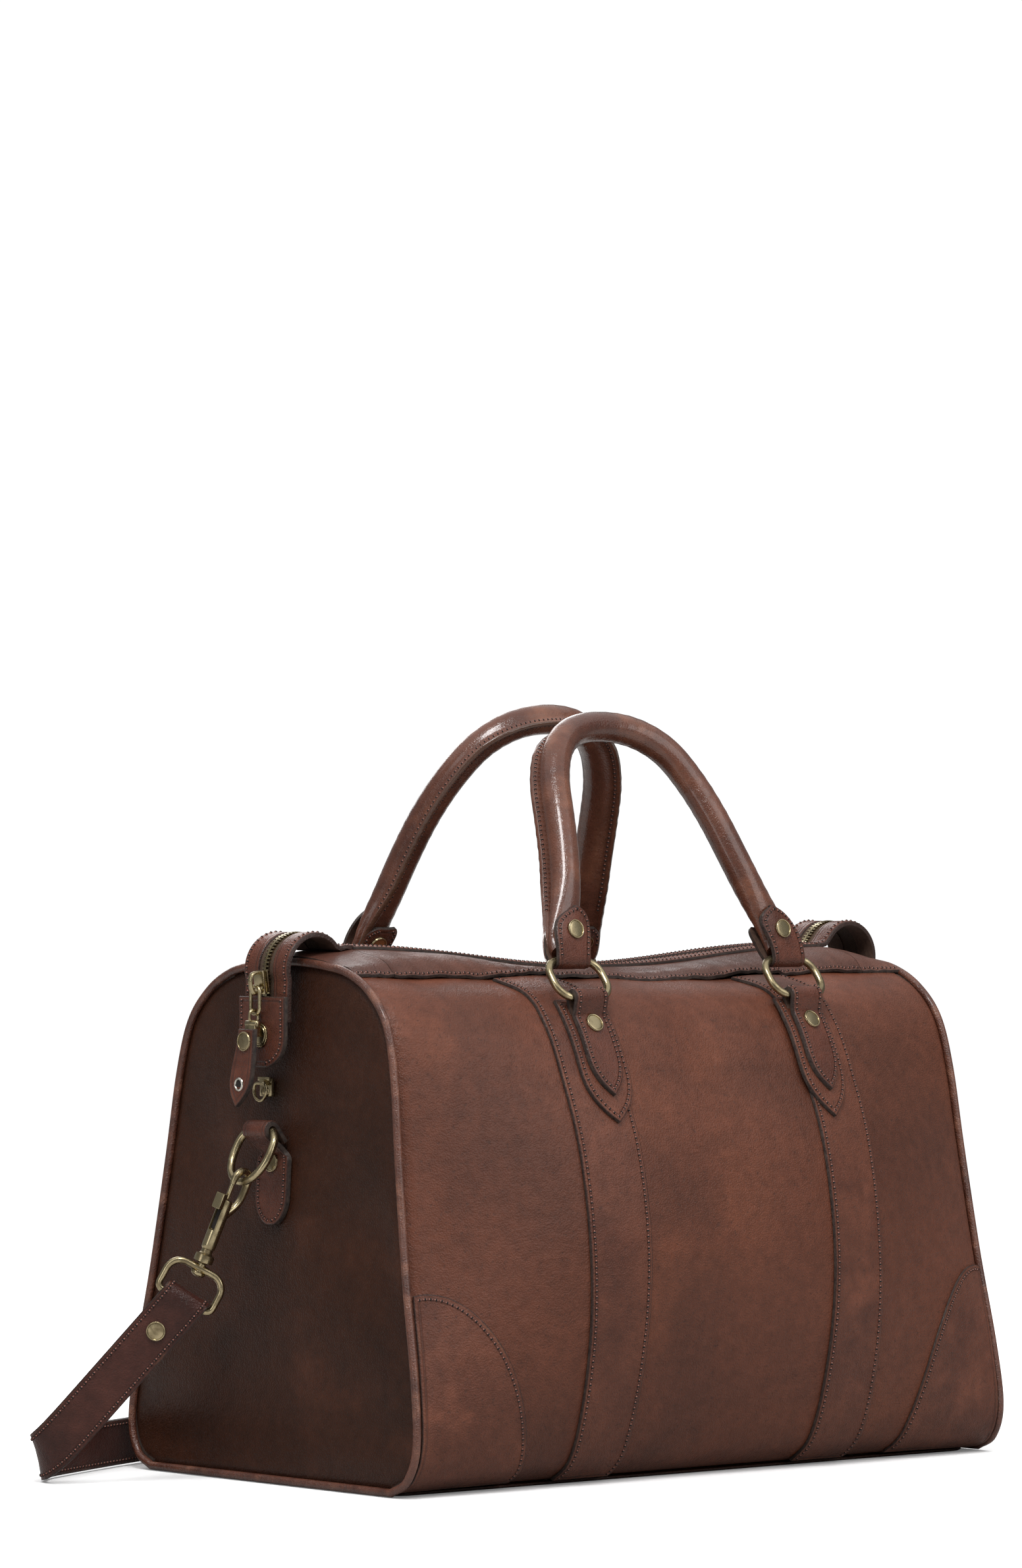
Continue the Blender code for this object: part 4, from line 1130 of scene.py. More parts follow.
def make_cap_tree() -> bpy.types.NodeTree:
    """Builds a rivet's cap: a flat disc, its raised rim and a low dome inside."""
    graph, given, result = geometry_tree(Setting.CAP, {"Radius": 0.006, "Height": 0.0016})
    radius, height = given["Radius"], given["Height"]
    disc = graph.add("GeometryNodeMeshCylinder", {"Vertices": 36, "Radius": radius, "Depth": height}).outputs[0]
    dome = graph.add("GeometryNodeMeshUVSphere", {"Segments": 36, "Rings": 10, "Radius": radius}).outputs[0]
    low = graph.math("DIVIDE", graph.math("MULTIPLY", height, 0.20), radius)
    flat = moved_shape(graph, dome, 0.0, graph.math("MULTIPLY", height, 0.42),
                       Scale=combined(graph, 0.90, 0.90, low))
    ring = graph.add("GeometryNodeCurvePrimitiveCircle", {"Resolution": 36, "Radius": graph.math(
        "MULTIPLY", radius, 0.93)}).outputs[0]
    wire = graph.add("GeometryNodeCurvePrimitiveCircle", {"Resolution": 8, "Radius": graph.math(
        "MULTIPLY", radius, 0.085)}).outputs[0]
    rim = graph.add("GeometryNodeCurveToMesh", {"Curve": ring, "Profile Curve": wire}).outputs[0]
    rim = moved_shape(graph, rim, 0.0, graph.math("MULTIPLY", height, 0.5))
    shape = shapes_joined(graph, disc, flat, rim)
    caps = graph.add("GeometryNodeInstanceOnPoints", {"Points": given["Geometry"], "Instance": shape,
                                                      "Rotation": facing_rotation(graph, False)}).outputs[0]
    end_tree(graph, caps, given, result)
    return graph.tree


def make_tooth_tree() -> bpy.types.NodeTree:
    """Builds a zip tooth: a clamp on the tape's edge and a rounded head that meets the other side."""
    graph, given, result = geometry_tree(Setting.TOOTH, {"Across": 0.0034, "Along": 0.0010, "Height": 0.0014})
    across, along, height = given["Across"], given["Along"], given["Height"]
    clamp = graph.add("GeometryNodeMeshCube", {"Size": combined(graph, along, across, height)}).outputs[0]
    head = graph.add("GeometryNodeMeshCylinder", {"Vertices": 8, "Radius": graph.math("MULTIPLY", along, 0.75),
                                                  "Depth": graph.math("MULTIPLY", height, 1.25)}).outputs[0]
    head = moved_shape(graph, head, graph.math("MULTIPLY", across, 0.5), 0.0)
    shape = shapes_joined(graph, clamp, head)
    teeth = graph.add("GeometryNodeInstanceOnPoints", {"Points": given["Geometry"], "Instance": shape,
                                                       "Rotation": facing_rotation(graph, True)}).outputs[0]
    real = graph.add("GeometryNodeRealizeInstances", {0: teeth}).outputs[0]
    painted = graph.add("GeometryNodeSetMaterial", {"Geometry": real, "Material": given["Finish"]}).outputs[0]
    graph.tree.links.new(painted, result.inputs[0])
    return graph.tree


def make_cord_tree() -> bpy.types.NodeTree:
    """Builds a round cord along the given line."""
    graph, given, result = geometry_tree(Setting.CORD, {"Radius": 0.0022})
    curve = graph.add("GeometryNodeMeshToCurve", {0: given["Geometry"]}).outputs[0]
    section = graph.add("GeometryNodeCurvePrimitiveCircle", {"Resolution": 12, "Radius": given["Radius"]}).outputs[0]
    cord = graph.add("GeometryNodeCurveToMesh", {"Curve": curve, "Profile Curve": section}).outputs[0]
    end_tree(graph, cord, given, result)
    return graph.tree


TREES = {Setting.STITCH: make_stitch_tree(), Setting.CAP: make_cap_tree(), Setting.TOOTH: make_tooth_tree(),
         Setting.CORD: make_cord_tree()}


def grown(name: str, setting: Setting, finish: bpy.types.Material, lines: Sequence[np.ndarray],
          sizes: dict[str, float] | None = None, directions: dict[str, np.ndarray] | None = None,
          closed: bool = False) -> bpy.types.Object:
    """Runs a Geometry Nodes tree on lines or points and gives its plain mesh.

    Args:
        name: The piece's name.
        setting: Which tree is run.
        finish: Its material.
        lines: Rows of points; each row is one line.
        sizes: Named sizes that differ from the tree's usual ones.
        directions: Named directions of every point.
        closed: Whether each line closes on itself.

    Returns:
        The piece, with no modifier left on it.
    """
    mesh = bpy.data.meshes.new(name + "_seed")
    verts, edges = [], []
    for line in lines:
        first = len(verts)
        verts += [tuple(point) for point in line]
        edges += [(i, i + 1) for i in range(first, len(verts) - 1)]
        if closed:
            edges.append((len(verts) - 1, first))
    mesh.from_pydata(verts, [] if directions else edges, [])
    for title, rows in (directions or {}).items():
        layer = mesh.attributes.new(title, "FLOAT_VECTOR", "POINT")
        layer.data.foreach_set("vector", np.asarray(rows, np.float32).ravel())
    seed = bpy.data.objects.new(name + "_seed", mesh)
    bpy.context.scene.collection.objects.link(seed)
    tree = TREES[setting]
    modifier = seed.modifiers.new("setting", "NODES")
    modifier.node_group = tree
    wanted = {"Finish": finish, **(sizes or {})}
    for item in tree.interface.items_tree:
        if item.in_out == "INPUT" and item.name in wanted:
            modifier[item.identifier] = wanted[item.name]
    depsgraph = bpy.context.evaluated_depsgraph_get()
    made = bpy.data.meshes.new_from_object(seed.evaluated_get(depsgraph), depsgraph=depsgraph)
    made.name = name
    if "rim" not in made.attributes:
        made.attributes.new("rim", "FLOAT", "POINT").data.foreach_set(
            "value", [FAR_FROM_RIM] * len(made.vertices))
    bpy.data.objects.remove(seed, do_unlink=True)
    bpy.data.meshes.remove(mesh)
    piece = bpy.data.objects.new(name, made)
    bpy.context.scene.collection.objects.link(piece)
    return piece


@dataclass
class Sewing:
    """Sews rows of stitches with painted shade for their pricked holes, and sets rivet caps and zip teeth."""

    finishes: Finishes
    stitch_share: float = 0.74
    hole_length: float = 0.0015
    hole_radius: float = 0.00098
    cap_height: float = 0.0016
    tooth_pitch: float = 0.0024
    tooth_inset: float = 0.0014

    def rows(self, name: str, lines: Sequence[np.ndarray], pitch: float = 0.0036) -> list[bpy.types.Object]:
        """Makes the thread of stitch rows and the painted shade of their holes.

        Args:
            name: What the pieces are named after.
            lines: The lines that are sewn.
            pitch: Distance from stitch to stitch.

        Returns:
            The thread and the holes' painted shade.
        """
        sizes = {"Pitch": pitch, "Length": pitch * self.stitch_share}
        thread = grown(name + "_stitches", Setting.STITCH, self.finishes.thread, lines, sizes)
        # Painted shade: near-black grains half a pitch off the stitches stand for the shade in the pricked holes.
        small = {"Pitch": pitch, "Length": self.hole_length, "Radius": self.hole_radius, "Shift": pitch / 2}
        return [thread, grown(name + "_holes", Setting.STITCH, self.finishes.hole_shade, lines, small)]

    def sew(self, name: str, lines: Sequence[np.ndarray], body: str, pitch: float = 0.0036,
            slot: str = "trim_leather") -> None:
        """Sews stitch rows that ride on one body.

        Args:
            name: What the pieces are named after.
            lines: The lines that are sewn.
            body: The body's name.
            pitch: Distance from stitch to stitch.
            slot: A material slot's name, which is not used.
        """
        for piece in self.rows(name, lines, pitch):
            fix(piece, body)

    def caps(self, name: str, places: Sequence[np.ndarray], facings: Sequence[np.ndarray],
             radius: float = 0.006) -> bpy.types.Object:
        """Makes rivet caps at places, each facing its own way."""
        sizes = {"Radius": radius, "Height": self.cap_height}
        return grown(name, Setting.CAP, self.finishes.brass, [np.array(places)], sizes,
                     {"facing": unit(np.array(facings, float))})

    def teeth(self, name: str, line: np.ndarray, facing: np.ndarray, side: int) -> bpy.types.Object:
        """Makes one side's teeth along a zip.

        Args:
            name: The piece's name.
            line: The zip's middle line.
            facing: Direction off the tape at each point of the line.
            side: -1 for the front tape, 1 for the back one, whose teeth are half a step further on.

        Returns:
            The teeth.
        """
        arc = distances(line)
        inward = -side * ACROSS
        at = np.arange(self.tooth_pitch / 2 if side > 0 else 0.0, arc[-1], self.tooth_pitch)
        middle, out = (read_rows(at, arc, rows) for rows in (line, facing))
        run = read_rows(at, arc, np.gradient(line, axis=0))
        out = unit(out)
        if float((np.cross(out, unit(run)) @ inward).mean()) < 0:
            run = -run
        middle = middle - inward * self.tooth_inset
        return grown(name, Setting.TOOTH, self.finishes.brass, [middle], None, {"facing": out, "along": unit(run)})


def label(stands_for: Sequence[str]) -> None:
    """Hides the CAD nodes that a piece replaces."""
    if stands_for:
        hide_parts(*stands_for)


def fix(piece: bpy.types.Object, body: str, stands_for: Sequence[str] = ()) -> None:
    """Makes a finished piece ride on a body.

    Args:
        piece: The piece.
        body: The body's name.
        stands_for: CAD nodes that it replaces.
    """
    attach(piece, body)
    label(stands_for)
    LOG.info("%s rides on %s", piece.name, body)


def bend(piece: bpy.types.Object, bodies: tuple[str, str], start: Sequence[float], end: Sequence[float], slot: str,
         stands_for: Sequence[str] = ()) -> None:
    """Makes a finished piece bend between two bodies.

    Args:
        piece: The piece.
        bodies: The body before the bend and the one after it.
        start: Where the bend starts.
        end: Where it ends.
        slot: A material slot's name, which is not used.
        stands_for: CAD nodes that it replaces.
    """
    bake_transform(piece, *bodies, start=tuple(start), end=tuple(end))
    label(stands_for)
    LOG.info("%s bends from %s to %s", piece.name, *bodies)


def repaint(node: str, finish: bpy.types.Material) -> None:
    """Gives a CAD node that stays a better finish."""
    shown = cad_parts[node]
    if not shown.material_slots:
        shown.data.materials.append(finish)
    for place in shown.material_slots:
        place.material = finish
    LOG.info("%s keeps its shape", node)


FACES = (("front", -1), ("back", 1))
ENDS = (("left", -1), ("right", 1))


# ---------------------------------------------------------------- the body


@dataclass
class Body:
    """Front, back, ends, base and the piping between them."""

    finishes: Finishes
    wall: float = 0.0025
    seam: float = 0.0012
    piping: float = 0.0026
    fullness: float = 0.004
    base_size: tuple = (0.4870, 0.2310)
    base_rings: tuple = ((0.03, 0.0), (0.0, 0.0), (-0.0012, 0.0008), (-0.0012, 0.0018), (0.0004, 0.0025),
                         (0.03, 0.0025))

    def end_outline(self, count: int = 90) -> np.ndarray:
        """Gives half of an end panel's outline, from the base to the top middle, as half-widths and heights."""
        points = [*SHELL.end_side, (0.034, 0.3210), (0.012, 0.3230), (0.0, 0.3232)]
        line = smooth_route(points, count)
        line[:, 0] = np.maximum(line[:, 0], 0)
        return np.vstack([[(0.104, 0.0022)], line])

    def panel(self, name: str, side: int) -> None:
        """Makes the front or the back, which dips into its seams."""
        edge = 1 - self.seam / SHELL.half_length
        far = np.array((0, 0.0012, 0.003, 0.0055, 0.009)) / SHELL.half_length
        u = np.concatenate([-edge + far, np.linspace(-edge + 0.055, edge - 0.055, 110), (edge - far)[::-1]])
        t = np.concatenate([[0, 0.004, 0.010, 0.020], np.linspace(0.035, 1, 80)])
        grid_u, grid_t = np.meshgrid(u, t)
        gap = (edge - np.abs(grid_u)) * SHELL.half_length
        dip = 0.0017 * (1 - smoothstep(gap / 0.006)) + 0.0012 * (1 - smoothstep(grid_t / 0.02))
        outer = SHELL.at(grid_u, grid_t, -dip, side)
        inner = SHELL.at(grid_u, grid_t, -dip - self.wall, side)
        piece = clean_object(name, slab(outer, inner), self.finishes.laid(self.finishes.body))
        fix(piece, "root", [name])

    def end(self, name: str, sign: int) -> None:
        """Makes an end panel, full in the middle and wavy towards the front and the back."""
        outline = self.end_outline()
        inset = self.piping - 0.0013
        run = unit(np.gradient(outline, axis=0))
        shrunk = outline - np.stack([run[:, 1], -run[:, 0]], axis=1) * inset
        shrunk[:, 0] = np.maximum(shrunk[:, 0], 0)
        shrunk[-1, 0] = 0
        share = np.sin(np.linspace(-math.pi / 2, math.pi / 2, 49))
        y = shrunk[:, :1] * share
        z = np.repeat(shrunk[:, 1:], len(share), axis=1)
        whole = np.vstack([shrunk, shrunk[::-1] * (-1, 1)])
        rim = distance_to_outline(np.stack([y.ravel(), z.ravel()], axis=1), whole).reshape(y.shape)
        away = smoothstep((np.abs(y) - 0.025) / 0.06)
        wave = 0.0022 * np.sin(26 * z + 9 * y * sign) * away + 0.0012 * np.sin(61 * z - 20 * y) * away
        rise = self.fullness * (1 - share**2) * np.sin(math.pi * np.clip(z / 0.32, 0, 1))
        rise = rise + wave * smoothstep(rim / 0.02) - 0.0016 * (1 - smoothstep(rim / 0.006))
        outer = np.stack([sign * (SHELL.end_x(z) + rise), y, z], axis=-1)
        inner = np.stack([sign * (SHELL.end_x(z) + rise - self.wall), y, z], axis=-1)
        # The end panel wears the darker leather that paints its shade.
        piece = clean_object(name, slab(outer, inner), self.finishes.laid(self.finishes.end))
        fix(piece, "root", [name])

    def cord(self, name: str, sign: int) -> None:
        """Makes the piping round an end panel."""
        outline = self.end_outline(110)[1:]
        half = np.vstack([[(0.088, 0.0030), (0.106, 0.0030)], outline])
        ring = np.vstack([half, (half[-2::-1] * (-1, 1))])
        line = np.stack([sign * (SHELL.end_x(ring[:, 1]) + 0.0002), ring[:, 0], ring[:, 1]], axis=1)
        piece = grown(name, Setting.CORD, self.finishes.piping, [line], {"Radius": self.piping}, closed=True)
        fix(piece, "root", [name])

    def base(self) -> None:
        """Makes the base panel, with softened edges and sewn leather round it."""
        width, depth = self.base_size
        loop = rounded_loop(width, depth, 0.012, 6)
        rings = []
        for shrink, z in self.base_rings:
            scale = np.array((1 - 2 * shrink / width, 1 - 2 * shrink / depth))
            rings.append(np.column_stack([loop * scale, np.full(len(loop), z)]))
        # The base wears the end panels' darker leather of painted shade.
        piece = clean_object("base_leather", skin(np.array(rings)), [self.finishes.end])
        fix(piece, "root", ["base_panel"])

    def build(self) -> None:
        """Makes the whole body."""
        for face, side in FACES:
            self.panel(f"{face}_panel", side)
        for end, sign in ENDS:
            self.end(f"{end}_end_panel", sign)
            self.cord(f"{end}_piping", sign)
        self.base()
        repaint("base_board", self.finishes.board)
        repaint("lining", self.finishes.lining)
        repaint("inner_pocket", self.finishes.lining)


@dataclass
class Trim:
    """Leather sewn on the front and back: bands, corner patches and the patches behind the ring tabs."""

    finishes: Finishes
    sewing: Sewing
    band_width: float = 0.046
    patch_reach: float = 0.080
    patch_top: float = 0.425
    backing_heights: tuple = (0.592, 0.690, 0.850)
    backing_half: float = 0.0188
    inset: float = 0.003

    def band(self, name: str, x: float, side: int) -> list[np.ndarray]:
        """Makes a band and gives its stitch lines."""
        place = Laid(x, side)
        half = self.band_width / 2
        cut = Cut(name, place, straight(-half), straight(half), place.reach(0.010), place.reach(0.985), 0.0019,
                  0.0002, across=10, spacing=0.0045)
        piece = cut.build(self.finishes.laid(self.finishes.trim))
        fix(piece, "root", [name])
        return cut.seam(self.inset, lambda a, b: (np.abs(a) > half - 1.4 * self.inset) & (b > place.reach(0.02)))

    def patch(self, name: str, sign: int, side: int) -> list[np.ndarray]:
        """Makes a quarter-round corner patch and gives its stitch line."""
        arc, table = SHELL.arc_table(sign * 0.215, side)
        corner_z = SHELL.raw(np.full_like(table, 0.99), table, side)[:, 2]

        def place(a: np.ndarray, b: np.ndarray, lift: np.ndarray) -> np.ndarray:
            """Gives a point at a from the middle and b up the panel."""
            return SHELL.at_x(sign * a, np.interp(b, arc, table), lift, side)

        def inner(b: np.ndarray) -> np.ndarray:
            """Gives the curved inner edge."""
            share = np.clip((np.interp(b, arc, table) - 0.014) / (self.patch_top - 0.014), 0, 1)
            return 0.2440 - self.patch_reach * np.sqrt(np.maximum(1 - share**2.2, 0)) - 0.004 * (share < 0.9999)

        def outer(b: np.ndarray) -> np.ndarray:
            """Gives the edge along the piping."""
            return SHELL.end_x(np.interp(b, arc, corner_z)) - 0.0030

        start, end = np.interp((0.014, self.patch_top), table, arc)
        cut = Cut(name, place, inner, outer, float(start), float(end), 0.0012, 0.0002, across=20, spacing=0.0030,
                  radius=0.0004)
        piece = cut.build(self.finishes.laid(self.finishes.trim))
        fix(piece, "root", [name])
        return cut.seam(self.inset, lambda a, b: (outer(b) - a > 0.0035) & (b > start + 0.006))

    def backing(self, name: str, x: float, side: int) -> list[np.ndarray]:
        """Makes the pointed patch behind a ring tab and gives its stitch line."""
        place = Laid(x, side)
        tip, widest, end = (place.reach(t) for t in self.backing_heights)

        def reach(b: np.ndarray) -> np.ndarray:
            """Gives half the width at b."""
            share = np.clip((widest - b) / (widest - tip), 0, 1)
            return self.backing_half * np.maximum(1 - share**2.7, 0.03)

        cut = Cut(name, place, lambda b: -reach(b), reach, tip, end, 0.0024, 0.0023, across=12, spacing=0.0022)
        piece = cut.build(self.finishes.laid(self.finishes.trim))
        fix(piece, "root", [name])
        return cut.seam(0.0028, lambda a, b: b < end - 0.004)

    def build(self) -> None:
        """Makes all the laid leather and its stitches."""
        for face, side in FACES:
            lines = []
            for end, sign in ENDS:
                lines += self.band(f"{face}_{end}_band", sign * BAND_X, side)
                lines += self.patch(f"{face}_{end}_corner_patch", sign, side)
                lines += self.backing(f"{face}_{end}_chape_backing", sign * CHAPE_X, side)
            self.sewing.sew(f"{face}_trim", lines, "root")


# ---------------------------------------------------------------- handles


@dataclass
class Handle:
    """One rolled handle with its rings, the tabs that hold them and every rivet cap."""

    finishes: Finishes
    sewing: Sewing
    face: str
    side: int
    wire: float = 0.0025
    ring_half: float = 0.0215
    ring_corner: float = 0.0118
    tube_radius: float = 0.0098
    welt: float = 0.0162
    lower: tuple = (0.1197, 0.3010)
    upper: tuple = (0.1030, 0.3240)
    fall: tuple = (0.0, 0.0)
    spread: float = 0.0
    pitch: float = 0.0034
    tab_span: tuple = (0.632, 0.800)
    tab_lift: float = 0.0046
    tab_half: float = 0.0129
    tab_point: float = 0.030
    tab_thickness: float = 0.0032
    foot_half: float = 0.0134
    foot_point: float = 0.015
    foot_thickness: float = 0.0026
    taper: float = 0.055
    route: tuple = ((0.0915, 0.0960, 0.336), (0.0880, 0.0930, 0.346), (0.0800, 0.0850, 0.366),
                    (0.0725, 0.0750, 0.390), (0.0660, 0.0630, 0.415), (0.0585, 0.0500, 0.438),
                    (0.0460, 0.0390, 0.458), (0.0260, 0.0310, 0.470), (0.0, 0.0285, 0.4735))

    def bar(self, which: tuple, sign: int) -> np.ndarray:
        """Gives the middle of a ring's lower or upper bar."""
        return np.array((sign * CHAPE_X, self.side * which[0], which[1]))

    def ring(self, end: str, sign: int) -> None:
        """Makes a ring."""
        low, high = self.bar(self.lower, sign), self.bar(self.upper, sign)
        along = unit(high - low)
        height = float(np.linalg.norm(high - low))
        loop = rounded_loop(2 * self.ring_half, height, self.ring_corner, 9)
        line = (low + high) / 2 + np.outer(loop[:, 0], (1, 0, 0)) + np.outer(loop[:, 1], along)
        name = f"{self.face}_{end}_handle_ring"
        piece = clean_object(name + "_wire", tube(line, self.wire, True, 16), [self.finishes.brass])
        fix(piece, f"{self.face}_rings", [name])

    def tab_ribbon(self, sign: int) -> tuple[Ribbon, float]:
        """Gives the path of the tab on the bag, from its tip round the lower bar, and where it leaves the bag."""
        x, side = sign * CHAPE_X, self.side
        bar = self.bar(self.lower, sign)
        t = np.linspace(*self.tab_span, 28)
        face_line = SHELL.at_x(np.full_like(t, x), t, self.tab_lift, side)
        beside = SHELL.at_x(np.full_like(t, x + 0.01), t, self.tab_lift, side)
        wide = unit(beside - face_line)
        root = face_line[-1]
        up = bar - root
        up[0] = 0
        up = unit(up)
        out = np.array((0, up[2] * side, -up[1] * side))
        around = np.linspace(0, math.pi, 15)
        wrap = bar + (self.wire + 0.0004) * (np.outer(np.cos(around), out) + np.outer(np.sin(around), up))
        reach = float(np.linalg.norm(bar - root))
        under = [wrap[-1] - up * reach * share + out * 0.0020 * share for share in (0.3, 0.6, 0.9)]
        line = np.vstack([face_line, (face_line[-1] * 0.45 + wrap[0] * 0.55)[None], wrap, under])
        wide = np.vstack([wide, np.tile((1.0, 0, 0), (len(line) - len(wide), 1))])
        arc = distances(line)
        even = np.linspace(0, arc[-1], 110)
        line, wide = (read_rows(even, arc, rows) for rows in (line, wide))
        line, wide = softened(line, 3), unit(softened(wide, 8))
        face_out = unit(np.cross(np.gradient(line, axis=0), wide)) * side
        return Ribbon(line, wide, face_out), float(arc[len(t)])

    def tab(self, end: str, sign: int) -> tuple[list[np.ndarray], np.ndarray, np.ndarray]:
        """Makes the tab that holds the ring on the bag, and gives its stitches and its cap's place and facing."""
        ribbon, leaves = self.tab_ribbon(sign)

        def reach(b: np.ndarray) -> np.ndarray:
            """Gives half the width at b."""
            share = np.clip((self.tab_point - b) / self.tab_point, 0, 1)
            return self.tab_half * np.maximum(1 - share**2.7, 0.03)

        name = f"{self.face}_{end}_chape"
        cut = Cut(name + "_leather", ribbon, lambda b: -reach(b), reach, 0.0, ribbon.length,
                  self.tab_thickness, 0.0, across=10, spacing=0.0016, radius=0.0009)
        piece = cut.build(self.finishes.laid(self.finishes.tab))
        fix(piece, "root", [name])
        lines = cut.seam(0.0027, lambda a, b: b < leaves + 0.012)
        at = np.array([leaves - 0.0135])
        place = ribbon(np.zeros(1), at, np.array([self.tab_thickness + 0.0003]))[0]
        return lines, place, ribbon.read(ribbon.out, at)[0]

    def centre_line(self) -> np.ndarray:
        """Gives the handle's middle line from one foot to the other."""
        share = [(z - self.route[0][2]) / (self.route[-1][2] - self.route[0][2]) for _, _, z in self.route]
        lean, rise = self.fall
        points = [np.array((x + self.spread * math.sin(math.pi * s), self.side * (y - lean * s * s), z + rise * s * s))
                  for (x, y, z), s in zip(self.route, share)]
        foot = self.bar(self.upper, 1) + unit(points[0] - self.bar(self.upper, 1)) * 0.0062
        half = np.array([foot, *points])
        whole = np.vstack([half, half[-2::-1] * (-1, 1, 1)])
        return softened(smooth_route(whole, 170), 4)

    def roll(self) -> tuple[np.ndarray, np.ndarray, np.ndarray]:
        """Gives the handle's line, the direction of its welt at each point and the direction across the welt."""
        line = self.centre_line()
        run = unit(np.gradient(line, axis=0))
        lean = np.clip(line[:, 0] / 0.05, -1, 1)
        wish = np.stack([0.55 * lean, np.full(len(line), -0.83 * self.side), np.full(len(line), -0.15)], axis=1)
        welt = unit(wish - run * (wish * run).sum(axis=1, keepdims=True))
        return line, welt, unit(np.cross(run, welt))

    def section(self) -> np.ndarray:
        """Gives the rolled handle's section: a round core and the flat sewn welt beside it."""
        r, w = self.tube_radius, self.welt
        upper = [(w, 0.0009), (w - 0.0006, 0.0017), (w - 0.0025, 0.0019), (r + 0.0016, 0.0020), (r + 0.0003, 0.0027)]
        around = np.radians(np.linspace(24, 180, 16))
        upper += [(r * math.cos(a), r * math.sin(a)) for a in around[:-1]]
        return np.array(upper + [(-r, 0.0)] + [(p, -q) for p, q in reversed(upper)])

    def grip(self) -> list[np.ndarray]:
        """Makes the rolled leather and gives its stitch lines."""
        line, welt, across = self.roll()
        section = self.section()
        arc = distances(line)
        near = np.minimum(arc, arc[-1] - arc)
        flat = smoothstep(near / self.taper)
        thin, broad = 0.42 + 0.58 * flat, 1.24 - 0.24 * flat
        rings = []
        for i, point in enumerate(line):
            flesh = section[:, :1] * welt[i] + section[:, 1:] * across[i]
            depth = flesh @ ACROSS
            flesh = flesh + np.outer(depth * (thin[i] - 1), ACROSS)
            flesh[:, 0] *= broad[i]
            pucker = 1 + 0.012 * math.sin(arc[i] * 700) * math.sin(arc[i] * 43)
            rings.append(point + flesh * pucker)
        rings = np.array(rings)
        name = f"{self.face}_handle"
        bm = skin(rings)
        layer = bm.verts.layers.float.new("rim")
        bm.verts.ensure_lookup_table()
        width = len(section)
        for i in range(len(line)):
            for j in range(width):
                bm.verts[i * width + j][layer] = float(max(self.welt - section[j, 0], 0) + 0.0002)
        piece = clean_object(name + "_roll", bm, [self.finishes.handle])
        fix(piece, name, [name])
        inside = (near > 0.030)
        lines = []
        for column in (2, width - 3):
            middle = rings[:, column] * 0.45 + rings[:, column + (1 if column < 5 else -1)] * 0.55
            lines.append(middle[inside])
        return lines

    def foot(self, end: str, sign: int) -> tuple[list[np.ndarray], list[np.ndarray], list[np.ndarray]]:
        """Makes the tab round the handle's end and the ring's upper bar.

        Args:
            end: Which foot.
            sign: -1 for the left one.

        Returns:
            Its stitch lines, and the places and facings of its two caps.
        """
        bar = self.bar(self.upper, sign)
        first = np.array((sign * self.route[1][0], self.side * self.route[1][1], self.route[1][2]))
        up = first - bar
        up[0] = 0
        up = unit(up)
        out = np.array((0, up[2] * self.side, -up[1] * self.side))
        radius = self.wire + 0.0005
        front = [(0.0330, 0.0096), (0.0270, 0.0088), (0.0200, 0.0076), (0.0125, 0.0062), (0.0060, 0.0048)]
        wrap = [(-radius * math.sin(a), radius * math.cos(a)) for a in np.linspace(0.15, math.pi - 0.15, 7)]
        back = [(0.0060, -0.0048), (0.0125, -0.0060), (0.0200, -0.0074), (0.0260, -0.0084)]
        points = front + wrap + back
        drift = [-sign * 0.0085 * (max(h, 0) / 0.033) ** 1.5 for h, _ in points]
        ribbon = ribbon_in_plane(points, bar, up, out, np.array((1.0, 0, 0)), 120, drift)
        if float(ribbon.out[5] @ out) < 0:
            ribbon = Ribbon(ribbon.line, ribbon.wide, -ribbon.out)
        total = ribbon.length

        def reach(b: np.ndarray) -> np.ndarray:
            """Gives half the width at b."""
            tip = np.clip((self.foot_point - b) / self.foot_point, 0, 1)
            tail = np.clip((b - total + 0.009) / 0.009, 0, 1)
            return self.foot_half * np.maximum(1 - tip**2.8, 0.12) * np.sqrt(np.maximum(1 - tail**2 * 0.75, 0.1)) \
                * (1 + 0.05 * smoothstep(1 - np.abs(b - 0.018) / 0.014))

        def wrapped(a: np.ndarray, b: np.ndarray, lift: np.ndarray) -> np.ndarray:
            """Gives a point on the tab, whose upper part curls round the handle."""
            curl = 20 * smoothstep(1 - np.asarray(b) / 0.030) + 14 * smoothstep((b - total + 0.022) / 0.022)
            return ribbon(a, b, lift - curl * np.asarray(a) ** 2)

        name = f"{self.face}_{end}_handle_tab"
        cut = Cut(name, wrapped, lambda b: -reach(b), reach, 0.0, total, self.foot_thickness, 0.0, across=10,
                  spacing=0.0018, radius=0.0007)
        fix(cut.build(self.finishes.laid(self.finishes.tab)), f"{self.face}_handle")
        lines = cut.seam(0.0025, lambda a, b: (b < 0.033) | (b > total - 0.024))
        spots = np.array([0.0165, total - 0.0125])
        places = ribbon(np.zeros(2), spots, np.full(2, 0.0028))
        return lines, list(places), list(ribbon.read(ribbon.out, spots))

    def build(self) -> None:
        """Makes the handle, its rings and tabs."""
        tab_lines, tab_places, tab_facings = [], [], []
        foot_lines, foot_places, foot_facings = self.grip(), [], []
        for end, sign in ENDS:
            self.ring(end, sign)
            lines, place, facing = self.tab(end, sign)
            tab_lines += lines
            tab_places.append(place)
            tab_facings.append(facing)
            lines, places, facings = self.foot(end, sign)
            foot_lines += lines
            foot_places += places
            foot_facings += facings
        self.sewing.sew(f"{self.face}_chape", tab_lines, "root", self.pitch)
        self.sewing.sew(f"{self.face}_handle", foot_lines, f"{self.face}_handle", self.pitch, "handle_leather")
        fix(self.sewing.caps(f"{self.face}_chape_caps", tab_places, tab_facings), "root")
        fix(self.sewing.caps(f"{self.face}_handle_caps", foot_places, foot_facings), f"{self.face}_handle")


# ---------------------------------------------------------------- mouth and tongues


